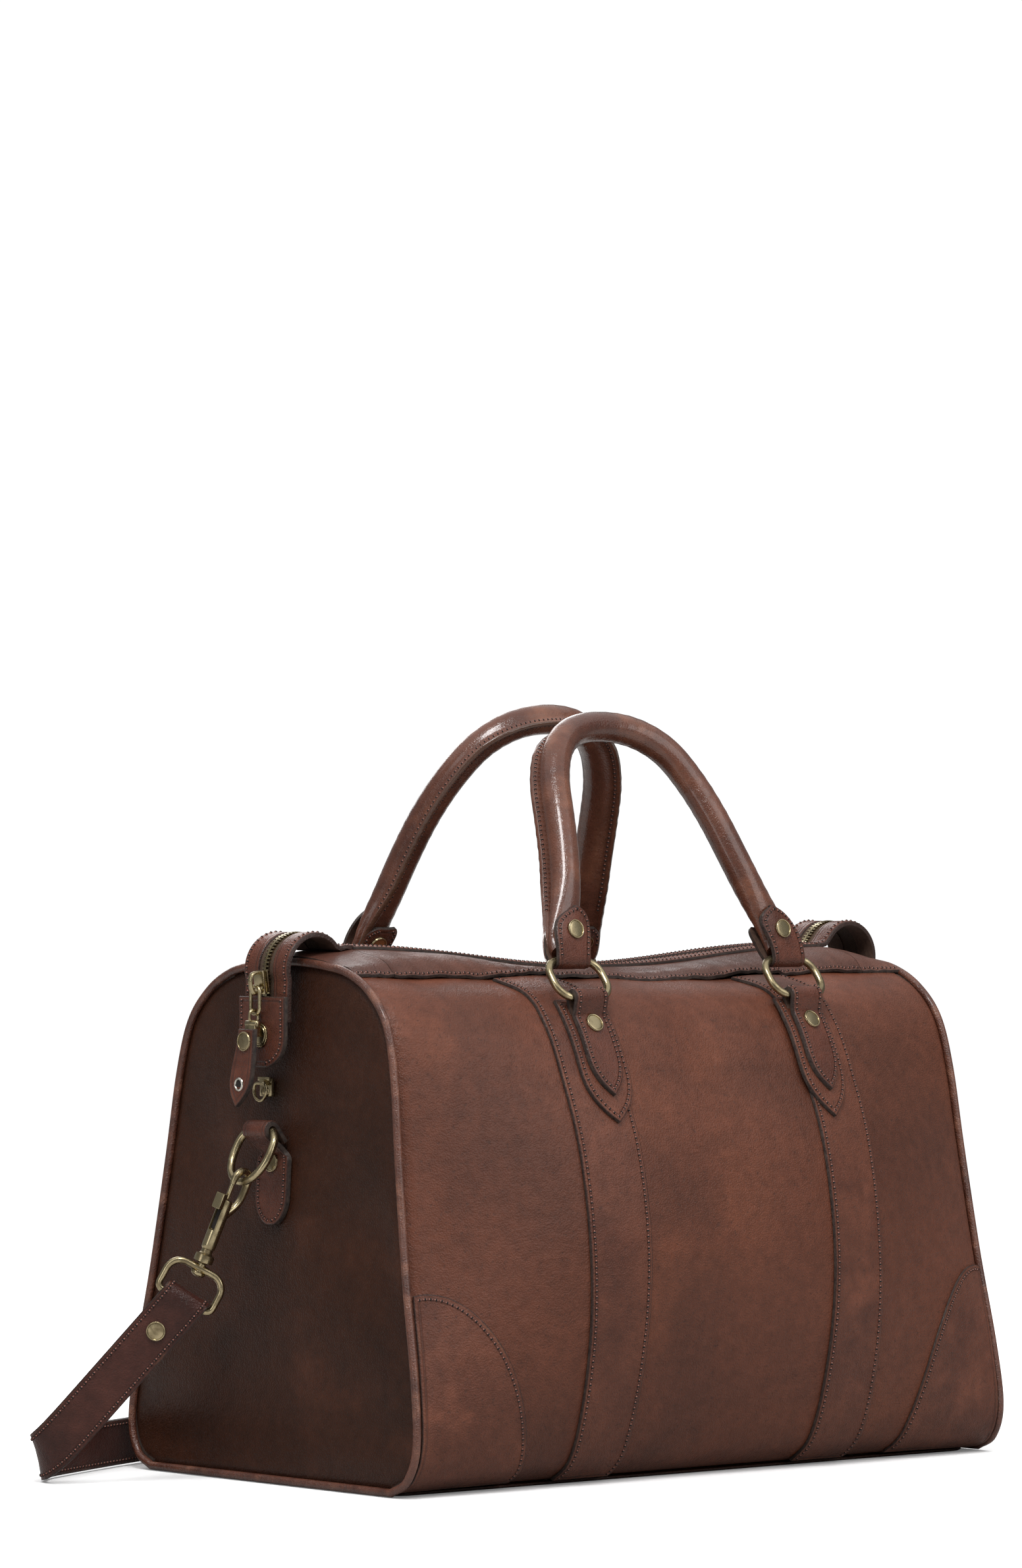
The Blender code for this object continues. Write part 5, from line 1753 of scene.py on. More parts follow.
def top_height(x: np.ndarray | float) -> np.ndarray:
    """Gives the height of the top along its middle."""
    x = np.abs(x)
    return 0.3165 + 0.0135 * smoothstep(x / 0.2) - 0.008 * np.maximum(x - 0.2, 0) / 0.05


def top_rise(x: np.ndarray | float, y: np.ndarray | float) -> np.ndarray:
    """Gives the height of the top's leather at a place."""
    return top_height(x) - 0.0085 * (np.abs(y) / 0.055) ** 2 * (0.35 + 0.65 * np.minimum(np.abs(x) / 0.25, 1))


@dataclass(frozen=True)
class TopSkin:
    """Places leather on the top: along the bag by x, and across it by distance from the zip down onto a panel."""

    length: float = 0.0880
    columns: int = 89

    def section(self, x: float, side: int) -> np.ndarray:
        """Gives the line across one half of the top at x."""
        y = np.linspace(0, 0.049, 22)
        flat = np.stack([np.full_like(y, x), side * y, top_rise(x, y)], axis=1)
        down = SHELL.at_x(np.full(10, x), np.linspace(0.995, 0.90, 10), 0.0003, side)
        line = np.vstack([flat, flat[-1] * 0.45 + down[0] * 0.55 + (0, 0, 0.0022), down])
        arc = distances(line)
        even = np.linspace(0, self.length, self.columns)
        return softened(read_rows(even, arc, line), 14)

    def tables(self) -> tuple[np.ndarray, np.ndarray]:
        """Gives the places along the bag and the two halves' lines at each."""
        x = np.linspace(-0.2330, 0.2330, 118)
        return x, np.array([[self.section(place, side) for place in x] for side in (-1, 1)])

    def __call__(self, a: np.ndarray, b: np.ndarray, lift: np.ndarray) -> np.ndarray:
        """Gives the point at a across, b along the bag, lifted off the top; the front is where a is negative."""
        a, b, lift = np.broadcast_arrays(np.asarray(a, float), np.asarray(b, float), np.asarray(lift, float))
        x, table = TOP_TABLES
        half = (a > 0).astype(int)
        i = np.clip((b - x[0]) / (x[1] - x[0]), 0, len(x) - 1.000001)
        j = np.clip(np.abs(a) / self.length * (self.columns - 1), 0, self.columns - 1.000001)
        i0, j0 = i.astype(int), j.astype(int)
        fi, fj = (i - i0)[..., None], (j - j0)[..., None]
        corner = [table[half, i0 + p, j0 + q] for p, q in ((0, 0), (1, 0), (0, 1), (1, 1))]
        point = (corner[0] * (1 - fi) + corner[1] * fi) * (1 - fj) + (corner[2] * (1 - fi) + corner[3] * fi) * fj
        run = unit((corner[1] - corner[0]) * (1 - fj) + (corner[3] - corner[2]) * fj)
        down = unit((corner[2] - corner[0]) * (1 - fi) + (corner[3] - corner[1]) * fi)
        out = unit(np.cross(run, down))
        out = out * np.where(out[..., 2:] < 0, -1, 1)
        reach = np.abs(a)
        pull = np.sin(b * 410 + 3 * np.sin(b * 57)) * smoothstep((reach - 0.030) / 0.02) * 0.00045
        wave = np.sin(b * 46 + 1.3) * np.sin(reach * 75 + b * 9) * smoothstep((reach - 0.012) / 0.02) * 0.0011
        over = smoothstep((0.0265 - np.abs(np.abs(b) - BAND_X)) / 0.004) * smoothstep((reach - 0.0605) / 0.004) * 0.0019
        calm = smoothstep((0.2330 - np.abs(b)) / 0.02)
        point = point + out * (lift + (pull + wave) * calm + over)[..., None]
        point[..., 0] = b
        return point


TOP_SKIN = TopSkin()
TOP_TABLES = TOP_SKIN.tables()


def raw_edge(x: np.ndarray) -> np.ndarray:
    """Gives how far the top's leather reaches from the zip, over the front and the back."""
    return 0.0664 + 0.0034 * np.exp(-(((x + 0.02) / 0.09) ** 2)) + 0.0004 * np.sin(x * 60)


@dataclass
class Mouth:
    """The zip's two halves between the tongues, and the leather beside them."""

    finishes: Finishes
    sewing: Sewing
    half_length: float = 0.2005
    strip_in: float = 0.0066
    strip_out: float = 0.0220
    turn: tuple = ((-0.0585, 0.3165), (-0.0535, 0.3165))

    def half(self, face: str, side: int) -> None:
        """Makes one half of the mouth."""
        def cut(name: str, near: float, far: Edge, thickness: float, lift: float, across: int) -> Cut:
            """Starts a piece that runs the length of the mouth, from its distances from the zip."""
            low, high = straight(near), far
            if side < 0:
                low, high = (lambda b: -far(b)), straight(-near)
            return Cut(name, TOP_SKIN, low, high, -self.half_length, self.half_length, thickness, lift, across,
                       0.0035, 0.0006)

        mouth = f"{face}_mouth"
        (near_y, near_z), (far_y, far_z) = self.turn
        start, end = (0, -side * near_y, near_z), (0, -side * far_y, far_z)
        leather = cut(f"{face}_gusset", self.strip_in, raw_edge, 0.0021, 0.0, 34)
        bend(leather.build(self.finishes.laid(self.finishes.top), True), ("root", mouth), start, end, "trim_leather",
             [f"{mouth}_panel"])
        self.sewing.sew(f"{face}_gusset", leather.seam(0.0030, lambda a, b: np.abs(a) > 0.05), "root")
        strip = cut(f"{face}_zip_strip", self.strip_in, straight(self.strip_out), 0.0018, 0.0022, 6)
        fix(strip.build(self.finishes.laid(self.finishes.trim), True), mouth)
        self.sewing.sew(f"{face}_zip_strip", strip.seam(0.0028), mouth)
        tape = cut(f"{face}_tape", 0.0012, straight(0.0105), 0.0007, -0.0009, 4)
        fix(tape.build([self.finishes.tape] * 3, True), mouth, [f"{face}_zip_tape"])
        line = TOP_SKIN(np.zeros(240), np.linspace(-self.half_length, self.half_length, 240), np.full(240, 0.0008))
        teeth = self.sewing.teeth(f"{face}_teeth", line, np.tile(UP, (240, 1)), side)
        fix(teeth, mouth)

    def ends(self, end: str, sign: int) -> None:
        """Makes the leather from the mouth's end to the end panel."""
        low, high = sorted((sign * 0.2010, sign * 0.2325))
        cut = Cut(f"{end}_top_end", TOP_SKIN, lambda b: -raw_edge(b), raw_edge, low, high, 0.0021, 0.0, 60, 0.003,
                  0.0006)
        fix(cut.build(self.finishes.laid(self.finishes.top), True), "root", [f"{end}_top_panel"])
        self.sewing.sew(f"{end}_top_end", cut.seam(0.0030, lambda a, b: np.abs(a) > 0.05), "root")

    def build(self) -> None:
        """Makes the mouth."""
        for face, side in FACES:
            self.half(face, side)
        for end, sign in ENDS:
            self.ends(end, sign)


@dataclass
class Tongue:
    """One end of the zip: it arches over the bag's end and its tab snaps onto the end panel."""

    finishes: Finishes
    sewing: Sewing
    end: str
    sign: int
    centre: tuple = (0.229, 0.321)
    sag: float = 0.0
    radius: float = 0.0225
    half: float = 0.0215
    tab_x: float = 0.2538

    def ribbon(self) -> Ribbon:
        """Gives the path of the tongue from its foot to under the tab."""
        cx, cz = self.centre[0], self.centre[1] - self.sag
        points = [(0.1990, 0.3322), (0.2060, 0.3326)]
        points += [(cx + self.radius * math.cos(math.radians(a)), cz + self.radius * math.sin(math.radians(a)))
                   for a in range(142, -20, -18)]
        points += [(0.2503, 0.3120), (0.2507, 0.3060), (0.2508, 0.3000), (0.2508, 0.2940), (0.2508, 0.2860)]
        found = ribbon_in_plane(points, np.zeros(3), np.array((self.sign, 0, 0.0)), UP, ACROSS, 130)
        line = softened(found.line, 3)
        return Ribbon(line, found.wide, found.out)

    def build(self) -> None:
        """Makes the strips, the tape, the teeth and the tab."""
        ribbon, tongue = self.ribbon(), f"{self.end}_tongue"
        start, end = (self.sign * 0.2035, 0, 0.333), (self.sign * 0.2120, 0, 0.333)
        bodies = ("root", tongue)
        lines = []
        for face, side in FACES:
            edges = (0.0068, self.half) if side > 0 else (-self.half, -0.0068)
            strip = Cut(f"{tongue}_{face}_strip", ribbon, straight(edges[0]), straight(edges[1]), 0.0,
                        ribbon.length, 0.0030, -0.0015, 8, 0.0022, 0.0011)
            stands = [tongue] if side < 0 else []
            bend(strip.build([self.finishes.tab, self.finishes.tab, self.finishes.flesh], True), bodies, start, end,
                 "trim_leather", stands)
            lines += strip.seam(0.0030, lambda a, b: np.abs(a) > 0.012)
        for piece in self.sewing.rows(tongue, lines, 0.0038):
            bend(piece, bodies, start, end, "trim_leather")
        tape = Cut(f"{tongue}_tape", ribbon, straight(-0.0100), straight(0.0100), 0.0, ribbon.length, 0.0012,
                   -0.0010, 10, 0.0022, 0.0003)
        bend(tape.build([self.finishes.tape] * 3, True), bodies, start, end, "zip_tape")
        for face, side in FACES:
            spots = np.linspace(0.002, ribbon.length, 120)
            line = ribbon(np.zeros(120), spots, np.full(120, 0.0009))
            out = ribbon.read(ribbon.out, spots)
            teeth = self.sewing.teeth(f"{tongue}_{face}_teeth", line, out, side)
            bend(teeth, bodies, start, end, "antique_brass")
        self.tab()

    def tab(self) -> None:
        """Makes the tab with its snap."""
        def place(a: np.ndarray, b: np.ndarray, lift: np.ndarray) -> np.ndarray:
            """Gives a point on the tab, b being its height."""
            curl = 0.0008 * smoothstep((np.abs(a) - 0.012) / 0.010)
            return np.stack([self.sign * (self.tab_x + lift - curl), a + 0 * b, b + 0 * a], axis=-1)

        def reach(b: np.ndarray) -> np.ndarray:
            """Gives half the tab's width at a height."""
            below = np.clip((0.2790 - b) / 0.0210, 0, 1)
            return 0.0225 * np.sqrt(np.maximum(1 - (0.97 * below) ** 2.6, 0.01))

        tongue = f"{self.end}_tongue"
        cut = Cut(f"{tongue}_tab_leather", place, lambda b: -reach(b), reach, 0.2580, 0.3018, 0.0031, 0.0, 14, 0.0020,
                  0.0008)
        fix(cut.build(self.finishes.laid(self.finishes.tab)), tongue, [f"{tongue}_tab"])
        self.sewing.sew(f"{tongue}_tab", cut.seam(0.0030), tongue)
        out = np.array((self.sign, 0, 0.0))
        middle = np.array((self.sign * (self.tab_x + 0.0034), 0, 0.2780))
        fix(self.sewing.caps(f"{tongue}_snap", [middle], [out], 0.0062), tongue)
        around = np.linspace(0, 2 * math.pi, 72, endpoint=False)
        wave = 0.0068 + 0.00022 * np.cos(around * 24)
        line = np.stack([np.full(72, self.sign * (self.tab_x + 0.0036)), wave * np.cos(around),
                         0.2780 + wave * np.sin(around)], axis=1)
        ring = clean_object(f"{tongue}_snap_ring", tube(line, 0.0009, True, 8), [self.finishes.dark_brass])
        fix(ring, tongue)


# ---------------------------------------------------------------- zip pull and lock staple


@dataclass
class ZipPull:
    """The slider, its link, the clasp and the leather puller."""

    finishes: Finishes
    sewing: Sewing
    middle: tuple = (-0.25589, 0.0, 0.31068)
    tilt: float = -8.0
    link_x: float = -0.2606

    def slider(self) -> None:
        """Makes the slider with its tall bridge."""
        place = Matrix.Translation(self.middle) @ Matrix.Rotation(math.radians(self.tilt), 4, "Y")
        parts = [block((-0.0021, -0.0050, -0.0072), (-0.0008, 0.0050, 0.0072), place, 0.0006),
                 block((-0.0009, -0.0034, -0.0070), (0.0012, 0.0034, 0.0075), place, 0.0005),
                 block((0.0008, -0.0055, -0.0072), (0.0020, 0.0055, 0.0072), place, 0.0005)]
        route = [(-0.0010, 0, 0.0062), (-0.0042, 0, 0.0064), (-0.0068, 0, 0.0056), (-0.0085, 0, 0.0030),
                 (-0.0087, 0, 0.0000), (-0.0084, 0, -0.0030), (-0.0068, 0, -0.0056), (-0.0040, 0, -0.0063),
                 (-0.0010, 0, -0.0064)]
        line = np.array([place @ Vector(point) for point in smooth_route(route, 40)])
        bar = tube(line, np.full(41, 0.00125), False, 12)
        middle = line.mean(axis=0)
        for vert in bar.verts:
            vert.co.y = middle[1] + (vert.co.y - middle[1]) * 1.5
        piece = clean_object("slider_body", joined(parts + [bar]), [self.finishes.brass])
        fix(piece, "zip_slider", ["zip_slider"])

    def link(self) -> None:
        """Makes the oval link and the neck under it."""
        loop = rounded_loop(0.0088, 0.0172, 0.0042, 9)
        line = np.stack([np.full(len(loop), self.link_x), loop[:, 0], 0.2995 + loop[:, 1]], axis=1)
        piece = clean_object("link_loop", tube(line, 0.00125, True, 12), [self.finishes.brass])
        fix(piece, "zip_link", ["zip_link"])
        loop = rounded_loop(0.0068, 0.0076, 0.0030, 8)
        line = np.stack([self.link_x - 0.0012 + loop[:, 0], np.zeros(len(loop)), 0.2897 + loop[:, 1]], axis=1)
        neck = tube(line, 0.0010, True, 12)
        fold = [block((-0.0046, -0.0048, 0.2768), (0.0002, 0.0048, 0.2842), Matrix.Translation((self.link_x, 0, 0)),
                      0.0006),
                turned([(0.0004, -0.0061), (0.0019, -0.0058), (0.0024, -0.0050), (0.0024, 0.0050), (0.0019, 0.0058),
                        (0.0004, 0.0061)], np.array((self.link_x - 0.0022, 0, 0.2850)), ACROSS, 16)]
        piece = clean_object("clasp_fold", joined([neck, *fold]), [self.finishes.brass])
        fix(piece, "zip_pull", ["zip_clasp"])

    def puller(self) -> None:
        """Makes the leather puller, with its cap, its eyelet and a dark disc of painted shade in the eyelet's hole."""
        top, tip = 0.2818, 0.2335

        def place(a: np.ndarray, b: np.ndarray, lift: np.ndarray) -> np.ndarray:
            """Gives a point on the puller, b being its height."""
            share = np.clip((top - b) / (top - tip), 0, 1)
            x = self.link_x - 0.0044 - 0.0008 * np.sin(share * 3) - 0.0030 * share**2 - lift
            return np.stack([x + 0 * a, a + 0.0065 * share**1.4 + 0 * b, b + 0 * a], axis=-1)

        def reach(b: np.ndarray) -> np.ndarray:
            """Gives half the puller's width at a height."""
            share = np.clip((top - b) / (top - tip), 0, 1)
            full = 0.0076 + 0.0026 * smoothstep(share / 0.62)
            return full * np.maximum(1 - np.clip((share - 0.62) / 0.38, 0, 1) ** 2.1, 0.02)

        cut = Cut("puller_leather", place, lambda b: -reach(b), reach, tip, top, 0.0034, 0.0, 10, 0.0015, 0.0008)
        fix(cut.build(self.finishes.laid(self.finishes.tab)), "zip_pull", ["zip_puller"])
        out = np.array((-1.0, 0, 0))
        spots = place(np.zeros(2), np.array((0.2742, 0.2475)), np.full(2, 0.0036))
        fix(self.sewing.caps("puller_cap", [spots[0]], [out]), "zip_pull")
        eyelet = turned([(0.0026, -0.0010), (0.0029, 0.0003), (0.0034, 0.0006), (0.0042, 0.0002), (0.0045, -0.0004),
                         (0.0045, -0.0010)], spots[1], out, 36, True)
        fix(clean_object("puller_eyelet", eyelet, [self.finishes.silver]), "zip_pull")
        # Painted shade: a near-black disc fills the eyelet's hole.
        hole_shade = turned([(0.0001, -0.0001), (0.0029, -0.0001), (0.0029, -0.0004), (0.0001, -0.0004)], spots[1], out, 24)
        fix(clean_object("puller_hole_painted_shade", hole_shade, [self.finishes.hole_shade]), "zip_pull")

    def build(self) -> None:
        """Makes the slider and everything that hangs from it."""
        self.slider()
        self.link()
        self.puller()


@dataclass
class LockStaple:
    """The staple that the puller is locked to: a bar, its ring and a domed stud."""

    finishes: Finishes
    wall: float = -0.24168
    aside: float = 0.012
    low: float = 0.003

    def build(self) -> None:
        """Makes the staple and the ring."""
        place = Matrix.Translation((self.wall, self.aside, -self.low))
        out = np.array((-1.0, 0, 0))
        plate = [block((-0.0015, -0.0060, 0.2424), (0.0012, 0.0060, 0.2536), place, 0.0006),
                 block((-0.0034, -0.0058, 0.2520), (-0.0004, 0.0058, 0.2546), place, 0.0007),
                 block((-0.0050, -0.0022, 0.2492), (-0.0006, 0.0022, 0.2530), place, 0.0006),
                 turned([(0.0035, 0.0), (0.0034, 0.0012), (0.0026, 0.0022), (0.0013, 0.0029), (0.0002, 0.0031)],
                        np.array((self.wall - 0.0010, self.aside, 0.2452 - self.low)), out, 24)]
        piece = clean_object("staple_plate", joined(plate), [self.finishes.brass])
        fix(piece, "root", ["lock_staple"])
        loop = np.array([(0.0062 * math.sin(a) * (1 if math.cos(a) > 0 else 0.99), 0.0062 * math.cos(a))
                         for a in np.linspace(0, 2 * math.pi, 48, endpoint=False)])
        loop[:, 1] = np.minimum(loop[:, 1], 0.0046)
        line = np.stack([np.full(len(loop), self.wall - 0.0058), self.aside + loop[:, 0],
                         0.2460 - self.low + loop[:, 1]], axis=1)
        ring = clean_object("staple_ring", tube(softened(line, 1, True), 0.00105, True, 12), [self.finishes.brass])
        fix(ring, "lock_ring", ["lock_ring"])


# ---------------------------------------------------------------- clips and strap


@dataclass
class EndClip:
    """One end's ring with its tab, the spring hook and the swivel frame."""

    finishes: Finishes
    sewing: Sewing
    end: str
    sign: int
    bar: tuple = (0.2560, 0.2190)
    bottom: tuple = (0.2720, 0.1875)
    ring_wire: float = 0.0025
    hook_wire: float = 0.0022
    bow: float = 0.0068
    away: tuple = (0.7590, 0.6510)
    hook_slant: float = 21.0
    frame_slant: float = 28.0
    frame_top: float = 0.0585
    frame_bottom: float = 0.0805
    frame_width: float = 0.0370

    def axes(self) -> dict[str, np.ndarray]:
        """Gives the clip's origin and directions: down the hook, out from the ring, and the strap's face."""
        away = np.array((self.sign * self.away[0], self.away[1], 0)) / math.hypot(*self.away)
        slant = math.radians(self.hook_slant)
        down = away * math.sin(slant) - UP * math.cos(slant)
        face = unit(np.cross(UP, away) * -self.sign)
        out = unit(np.cross((0, 1.0, 0), down) * -self.sign)
        toward = unit(face - down * float(face @ down))
        out = unit(out * 0.92 + toward * 0.39)
        origin = np.array((self.sign * self.bottom[0], 0, self.bottom[1]))
        slant = math.radians(self.frame_slant)
        lean = away * math.sin(slant) - UP * math.cos(slant)
        bars = unit(np.cross(lean, face) * -self.sign)
        eye = origin + out * self.bow + down * self.frame_top + lean * (self.frame_bottom - self.frame_top)
        return {"origin": origin, "down": down, "face": face, "out": out, "lean": lean, "bars": bars, "eye": eye}

    def ring(self) -> None:
        """Makes the ring: a straight bar and a round bow."""
        bar = np.array((self.sign * self.bar[0], 0, self.bar[1]))
        drop = np.array((self.sign * self.bottom[0], 0, self.bottom[1])) - bar
        half = 0.0178
        loop = [bar + ACROSS * y for y in np.linspace(-half + 0.004, half - 0.004, 5)]
        loop.append(bar + ACROSS * half + drop * 0.14)
        loop += [bar + drop * (0.45 + 0.55 * math.sin(a)) + ACROSS * half * math.cos(a)
                 for a in np.radians(np.linspace(0, 180, 17))]
        loop.append(bar - ACROSS * half + drop * 0.14)
        line = softened(np.array(loop), 1, True)
        closed = np.vstack([line[-1:], line, line[:2]])
        dense = smooth_route(closed, 6 * (len(closed) - 1))[6:-12]
        piece = clean_object(f"{self.end}_ring_wire", tube(dense, self.ring_wire, True, 18), [self.finishes.brass])
        fix(piece, f"{self.end}_end_ring", [f"{self.end}_end_ring"])

    def tab(self) -> None:
        """Makes the tab that holds the ring on the end panel."""
        name = f"{self.end}_end_chape"
        heights = (0.1600, 0.1700, 0.1800, 0.1900, 0.1990, 0.2060)
        face = [(z, float(SHELL.end_x(z)) + 0.0046) for z in heights]
        bar = np.array((self.bar[1], self.bar[0]))
        root = np.array(face[-1])
        up = unit(bar - root)
        out = np.array((-up[1], up[0]))
        radius = self.ring_wire + 0.0005
        wrap = [tuple(bar + radius * (math.cos(a) * out + math.sin(a) * up)) for a in np.linspace(0, math.pi, 8)]
        reach = float(np.linalg.norm(bar - root))
        under = [tuple(np.array(wrap[-1]) - up * reach * share + out * 0.0018 * share) for share in (0.35, 0.7)]
        ribbon = ribbon_in_plane([*face, *wrap, *under], np.zeros(3), UP, np.array((self.sign, 0, 0.0)),
                                 ACROSS, 120)
        ribbon = Ribbon(softened(ribbon.line, 4), ribbon.wide, unit(softened(ribbon.out, 4)))
        fold = 0.0455

        def half(b: np.ndarray) -> np.ndarray:
            """Gives half the tab's width at b."""
            share = np.clip((0.020 - b) / 0.020, 0, 1)
            narrow = smoothstep((b - fold + 0.006) / 0.008)
            return (0.0155 - 0.0040 * narrow) * np.sqrt(np.maximum(1 - (0.985 * share) ** 2.2, 0.004))

        cut = Cut(name + "_leather", ribbon, lambda b: -half(b), half, 0.0, ribbon.length, 0.0034, 0.0, 12, 0.0016,
                  0.0009)
        fix(cut.build(self.finishes.laid(self.finishes.tab)), "root", [name])
        self.sewing.sew(name, cut.seam(0.0030, lambda a, b: b < fold - 0.004), "root")
        spot = np.array([0.0385])
        place = ribbon(np.zeros(1), spot, np.array([0.0036]))
        fix(self.sewing.caps(name + "_cap", list(place), list(ribbon.read(ribbon.out, spot))), "root")

    def hook(self, at: dict[str, np.ndarray]) -> None:
        """Makes the hook's bow, barrel and collar, a dark block of painted shade in the barrel's slot, and its thumb
        piece.
        """
        bow, origin, down, out = self.bow, at["origin"], at["down"], at["out"]
        axis = origin + out * bow
        side = np.cross(down, out)
        spots = [(0.0300, bow), (0.0260, 0.86 * bow), (0.0225, 0.30 * bow), (0.0175, -0.40 * bow),
                 (0.0120, -0.85 * bow), (0.0060, -bow)]
        spots += [(-bow * math.cos(a), bow * math.sin(a)) for a in np.radians(np.linspace(-90, 90, 9))]
        spots.append((0.0024, bow))
        line = smooth_route([origin + down * a + out * o for a, o in spots], 90)
        thick = np.full(len(line), self.hook_wire) * (1 + 0.12 * np.sin(np.linspace(0, math.pi, len(line))))
        thick[-12:] *= np.linspace(1, 0.86, 12)
        parts = [tube(softened(line, 3), thick, False, 16)]
        around = np.linspace(0, 2 * math.pi, 48, endpoint=False)
        profile = [(0.0131, 0.0030), (0.0133, 0.0040), (0.0139, 0.0044), (0.0300, 0.0045), (0.0430, 0.0045),
                   (0.0450, 0.0043), (0.0458, 0.0036), (0.0480, 0.0036), (0.0488, 0.0044), (0.0494, 0.0058),
                   (0.0510, 0.0061), (0.0540, 0.0061), (0.0550, 0.0054), (0.0550, 0.0030)]
        dense = [(float(a), float(np.interp(a, [p[0] for p in profile], [p[1] for p in profile])))
                 for a in sorted({p[0] for p in profile} | {0.0142, 0.0146, 0.0330, 0.0334})]
        rings = []
        for along, radius in [(0.0230, 0.0018), (0.0131, 0.0018), *dense]:
            rise = radius * np.cos(around)
            if 0.0143 < along < 0.0332 and radius > 0.0030:
                rise = np.where(np.abs(radius * np.sin(around)) < 0.0020, np.minimum(rise, 0.0023), rise)
            rings.append(axis + down * along + np.outer(rise, out) + np.outer(radius * np.sin(around), side))
        parts.append(skin(np.array(rings)))
        piece = clean_object(f"{self.end}_hook_body", joined(parts), [self.finishes.brass], 38)
        fix(piece, f"{self.end}_hook", [f"{self.end}_hook"])
        place = frame_matrix(side, down, out, axis)
        # Painted shade: a near-black block lies in the barrel's flattened slot.
        slot = clean_object(f"{self.end}_hook_slot_painted_shade", block((-0.0018, 0.0146, 0.0019), (0.0018, 0.0328, 0.0025), place,
                                                           0.0002), [self.finishes.hole_shade])
        fix(slot, f"{self.end}_hook")
        thumb = [block((-0.0034, 0.0098, 0.0044), (0.0034, 0.0200, 0.0080), place, 0.0010),
                 block((-0.0016, 0.0104, 0.0029), (0.0016, 0.0190, 0.0060), place, 0.0003),
                 turned([(0.0014, 0.0), (0.0015, 0.0008), (0.0015, 0.0092), (0.0012, 0.0100)],
                        axis + down * 0.0026, down, 16)]
        piece = clean_object(f"{self.end}_thumb_piece", joined(thumb), [self.finishes.brass])
        fix(piece, f"{self.end}_trigger", [f"{self.end}_trigger"])

    def frame(self, at: dict[str, np.ndarray]) -> None:
        """Makes the swivel frame, flattened where it turns on the hook's stud."""
        height = self.frame_bottom - self.frame_top
        upper = [(w, h) for w, h in rounded_loop(self.frame_width, height, 0.0095, 9) if h > 0]
        lower = [(w, h) for w, h in rounded_loop(self.frame_width, height, 0.0040, 9) if h < 0]
        loop = np.array(upper + lower)
        eye, lean, bars = at["eye"], at["lean"], at["bars"]
        stepped = []
        for (w, h), (w2, h2) in zip(loop, np.roll(loop, -1, axis=0)):
            steps = max(1, round(math.hypot(w2 - w, h2 - h) / 0.0020))
            stepped += [(w + (w2 - w) * k / steps, h + (h2 - h) * k / steps) for k in range(steps)]
        flat = np.array(stepped)
        line = eye - np.outer(height / 2 + flat[:, 1], lean) + np.outer(flat[:, 0], bars)
        near = smoothstep(1 - np.abs(flat[:, 0]) / 0.008) * (flat[:, 1] > 0)
        wire = tube(line, self.hook_wire * (1 + 0.25 * near), True, 14)
        top = eye - lean * height
        stud = turned([(0.0010, -0.0034), (0.0026, -0.0032), (0.0026, 0.0020), (0.0046, 0.0022), (0.0048, 0.0030),
                       (0.0040, 0.0044), (0.0020, 0.0052), (0.0003, 0.0054)], top, lean, 24)
        piece = clean_object(f"{self.end}_frame_wire", joined([wire, stud]), [self.finishes.brass])
        fix(piece, f"{self.end}_swivel_frame", [f"{self.end}_swivel_frame"])

    def build(self) -> None:
        """Makes the whole clip."""
        at = self.axes()
        self.ring()
        self.tab()
        self.hook(at)
        self.frame(at)


